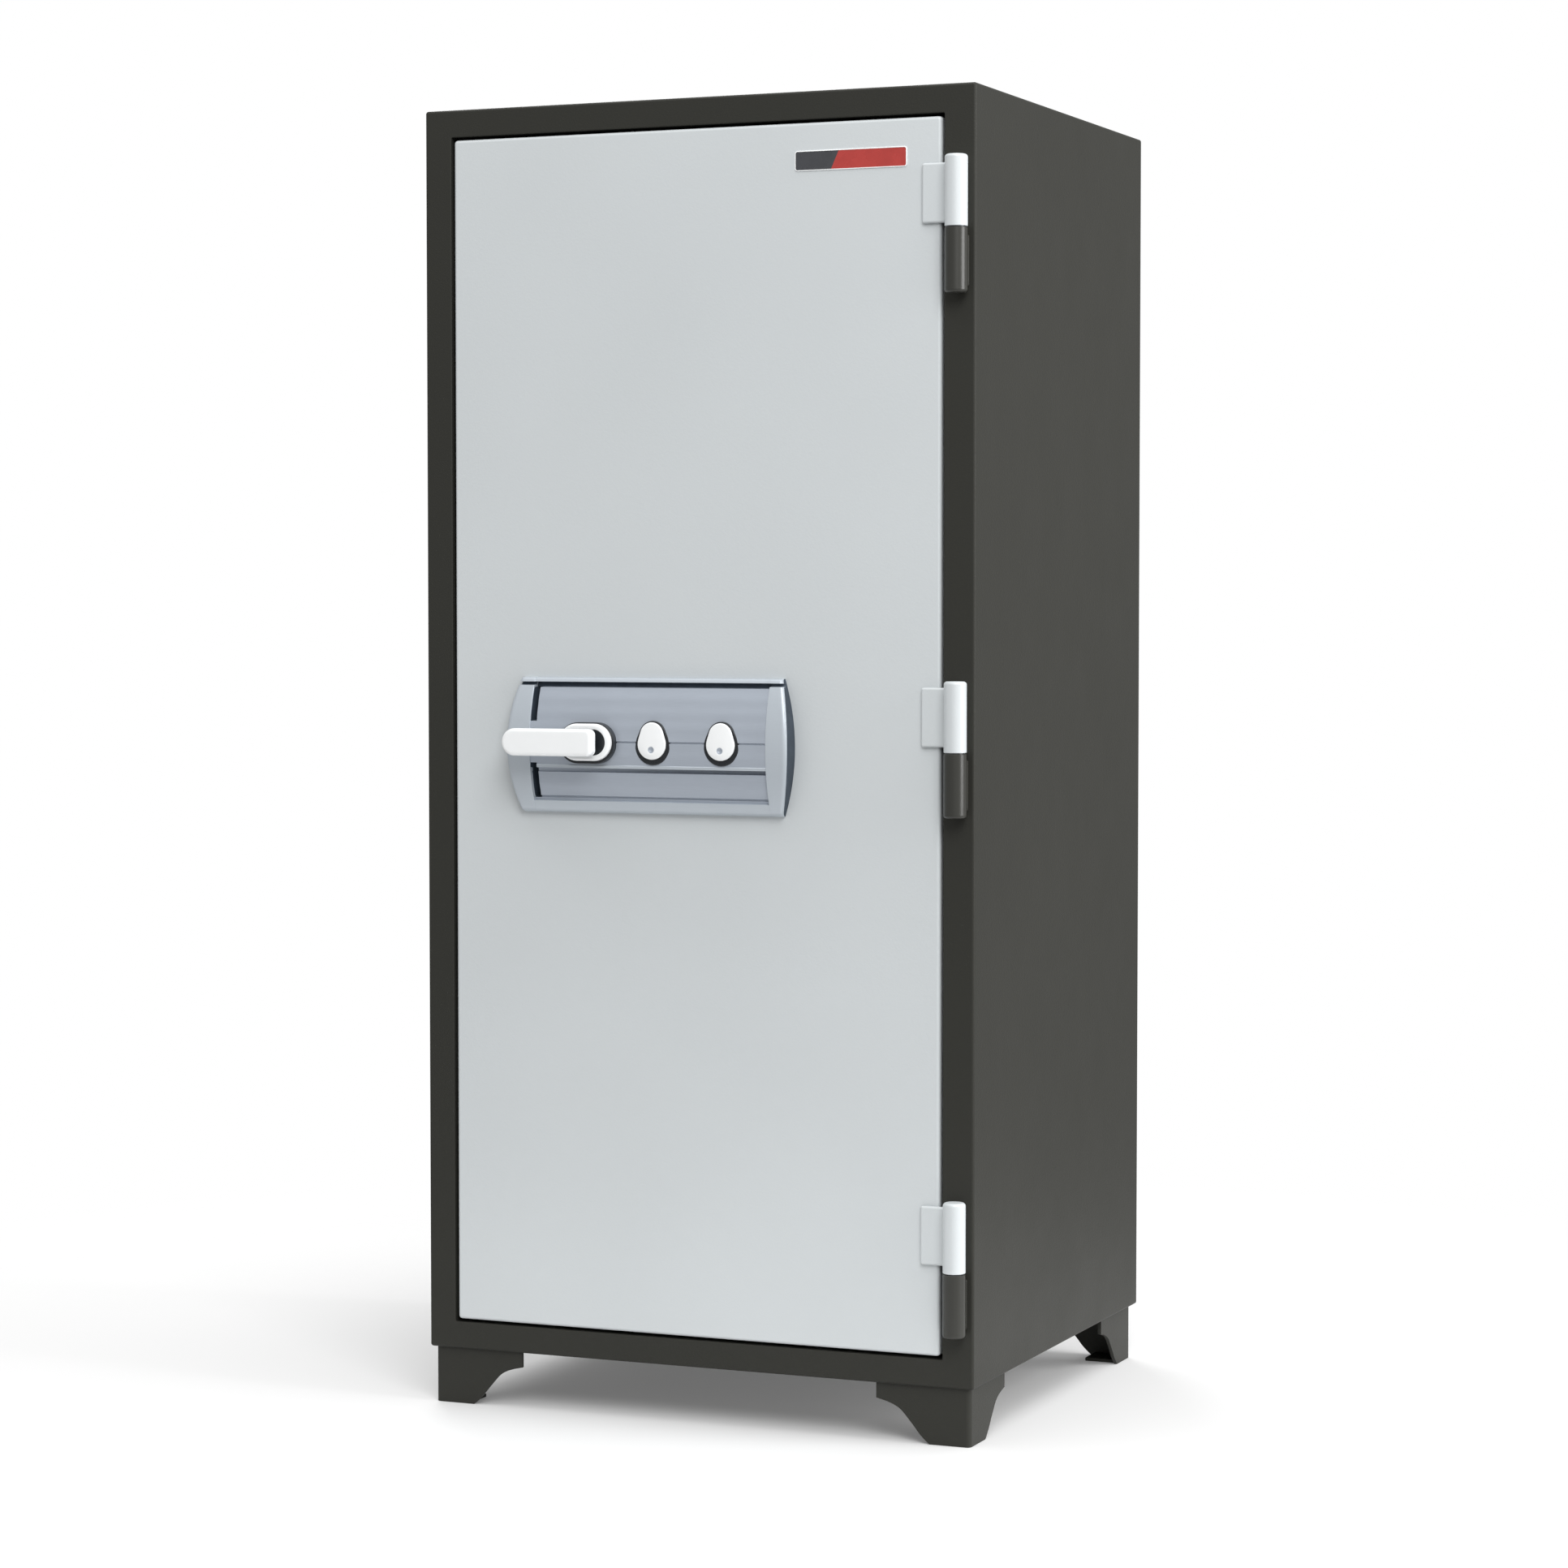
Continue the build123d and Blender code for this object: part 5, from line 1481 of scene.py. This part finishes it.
class CABINET_OT_shelves(bpy.types.Operator):
    """Make the tray shelves and finish their strips and clips"""

    bl_idname = "cabinet.shelves"
    bl_label = "Shelves"

    def execute(self, context):
        for number in (1, 2, 3):
            build_shelf(f"shelf_{number}")
        for node in ("shelf_uprights", "shelf_clips"):
            dress_node(node, "zinc")
        return {"FINISHED"}


class CABINET_OT_door(bpy.types.Operator):
    """Make the door face and its lining, and finish the door's inner layers"""

    bl_idname = "cabinet.door"
    bl_label = "Door"

    def execute(self, context):
        build_door_face()
        build_inner_cover()
        build_cover_screws()
        dress_node("door_insulation", "filling")
        dress_node("door_plug_casing", "shelf")
        dress_node("mechanism_plate", "zinc")
        return {"FINISHED"}


class CABINET_OT_hinges(bpy.types.Operator):
    """Make the hinge knuckles, and finish their pins and washers"""

    bl_idname = "cabinet.hinges"
    bl_label = "Hinges"

    def execute(self, context):
        for place in ("bottom", "middle", "top"):
            build_door_hinge("hinge_door_" + place)
            build_cabinet_hinge("hinge_cabinet_" + place)
        dress_node("hinge_pins", "ground")
        dress_node("hinge_washers", "black_and_painted_shade")
        return {"FINISHED"}


class CABINET_OT_lock_panel(bpy.types.Operator):
    """Make the arched lock panel and its two end caps"""

    bl_idname = "cabinet.lock_panel"
    bl_label = "Lock panel"

    def execute(self, context):
        build_panel_centre()
        build_panel_cap("panel_cap_left", "lock_panel_cap_left", LEFT_JOINT, -1)
        build_panel_cap("panel_cap_right", "lock_panel_cap_right", RIGHT_JOINT, 1)
        return {"FINISHED"}


class CABINET_OT_lever(bpy.types.Operator):
    """Make the lever and its rose"""

    bl_idname = "cabinet.lever"
    bl_label = "Lever"

    def execute(self, context):
        build_lever()
        build_rose()
        dress_node("handle_spindle", "ground")
        return {"FINISHED"}


class CABINET_OT_keys(bpy.types.Operator):
    """Make the key plates and drop covers"""

    bl_idname = "cabinet.keys"
    bl_label = "Key fittings"

    def execute(self, context):
        for side in ("left", "right"):
            build_key_plate(side)
            build_key_cover(side)
            dress_node("key_core_" + side, "brass")
            dress_node("lock_bolt_" + side, "ground")
            dress_node("lock_case_" + side, "zinc")
        dress_node("key_tubes", "zinc")
        return {"FINISHED"}


class CABINET_OT_badge(bpy.types.Operator):
    """Make the blank enamel badge"""

    bl_idname = "cabinet.badge"
    bl_label = "Badge"

    def execute(self, context):
        build_badge()
        return {"FINISHED"}


class CABINET_OT_boltwork(bpy.types.Operator):
    """Make the bolts, and finish the carriage, cam, studs and bushes"""

    bl_idname = "cabinet.boltwork"
    bl_label = "Boltwork"

    def execute(self, context):
        build_bolts("throw_bolts", "locking_bolts", "boltwork", -1)
        build_bolts("fixed_bolts", "dog_bolts", "door", 1)
        dress_node("bolt_bushes", "brass")
        for node in ("bolt_carriage", "bolt_cam", "guide_studs"):
            dress_node(node, "zinc")
        return {"FINISHED"}


STEPS = (
    CABINET_OT_stage,
    CABINET_OT_casing,
    CABINET_OT_feet,
    CABINET_OT_interior,
    CABINET_OT_shelves,
    CABINET_OT_door,
    CABINET_OT_hinges,
    CABINET_OT_lock_panel,
    CABINET_OT_lever,
    CABINET_OT_keys,
    CABINET_OT_badge,
    CABINET_OT_boltwork,
)


class CABINET_PT_sidebar(bpy.types.Panel):
    """Lists the steps and the values that shape them"""

    bl_idname = "CABINET_PT_sidebar"
    bl_label = "Document Cabinet"
    bl_space_type = "VIEW_3D"
    bl_region_type = "UI"
    bl_category = "Cabinet"

    def draw(self, context):
        layout = self.layout
        for step in STEPS:
            layout.operator(step.bl_idname)
        for group in ("cabinet_paints", "cabinet_edges", "cabinet_studio"):
            values = getattr(context.scene, group)
            box = layout.box()
            for name in values.__annotations__:
                box.prop(values, name)


GROUPS = {"cabinet_paints": CabinetPaints, "cabinet_edges": CabinetEdges, "cabinet_studio": CabinetStudio}
CLASSES = tuple(GROUPS.values()) + STEPS + (CABINET_PT_sidebar,)


def register():
    for one in CLASSES:
        bpy.utils.register_class(one)
    for name, group in GROUPS.items():
        setattr(bpy.types.Scene, name, PointerProperty(type=group))


def unregister():
    for name in GROUPS:
        delattr(bpy.types.Scene, name)
    for one in reversed(CLASSES):
        bpy.utils.unregister_class(one)


def main():
    """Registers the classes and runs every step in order."""
    register()
    for step in STEPS:
        group, name = step.bl_idname.split(".")
        getattr(getattr(bpy.ops, group), name)()


if __name__ == "__main__":
    main()
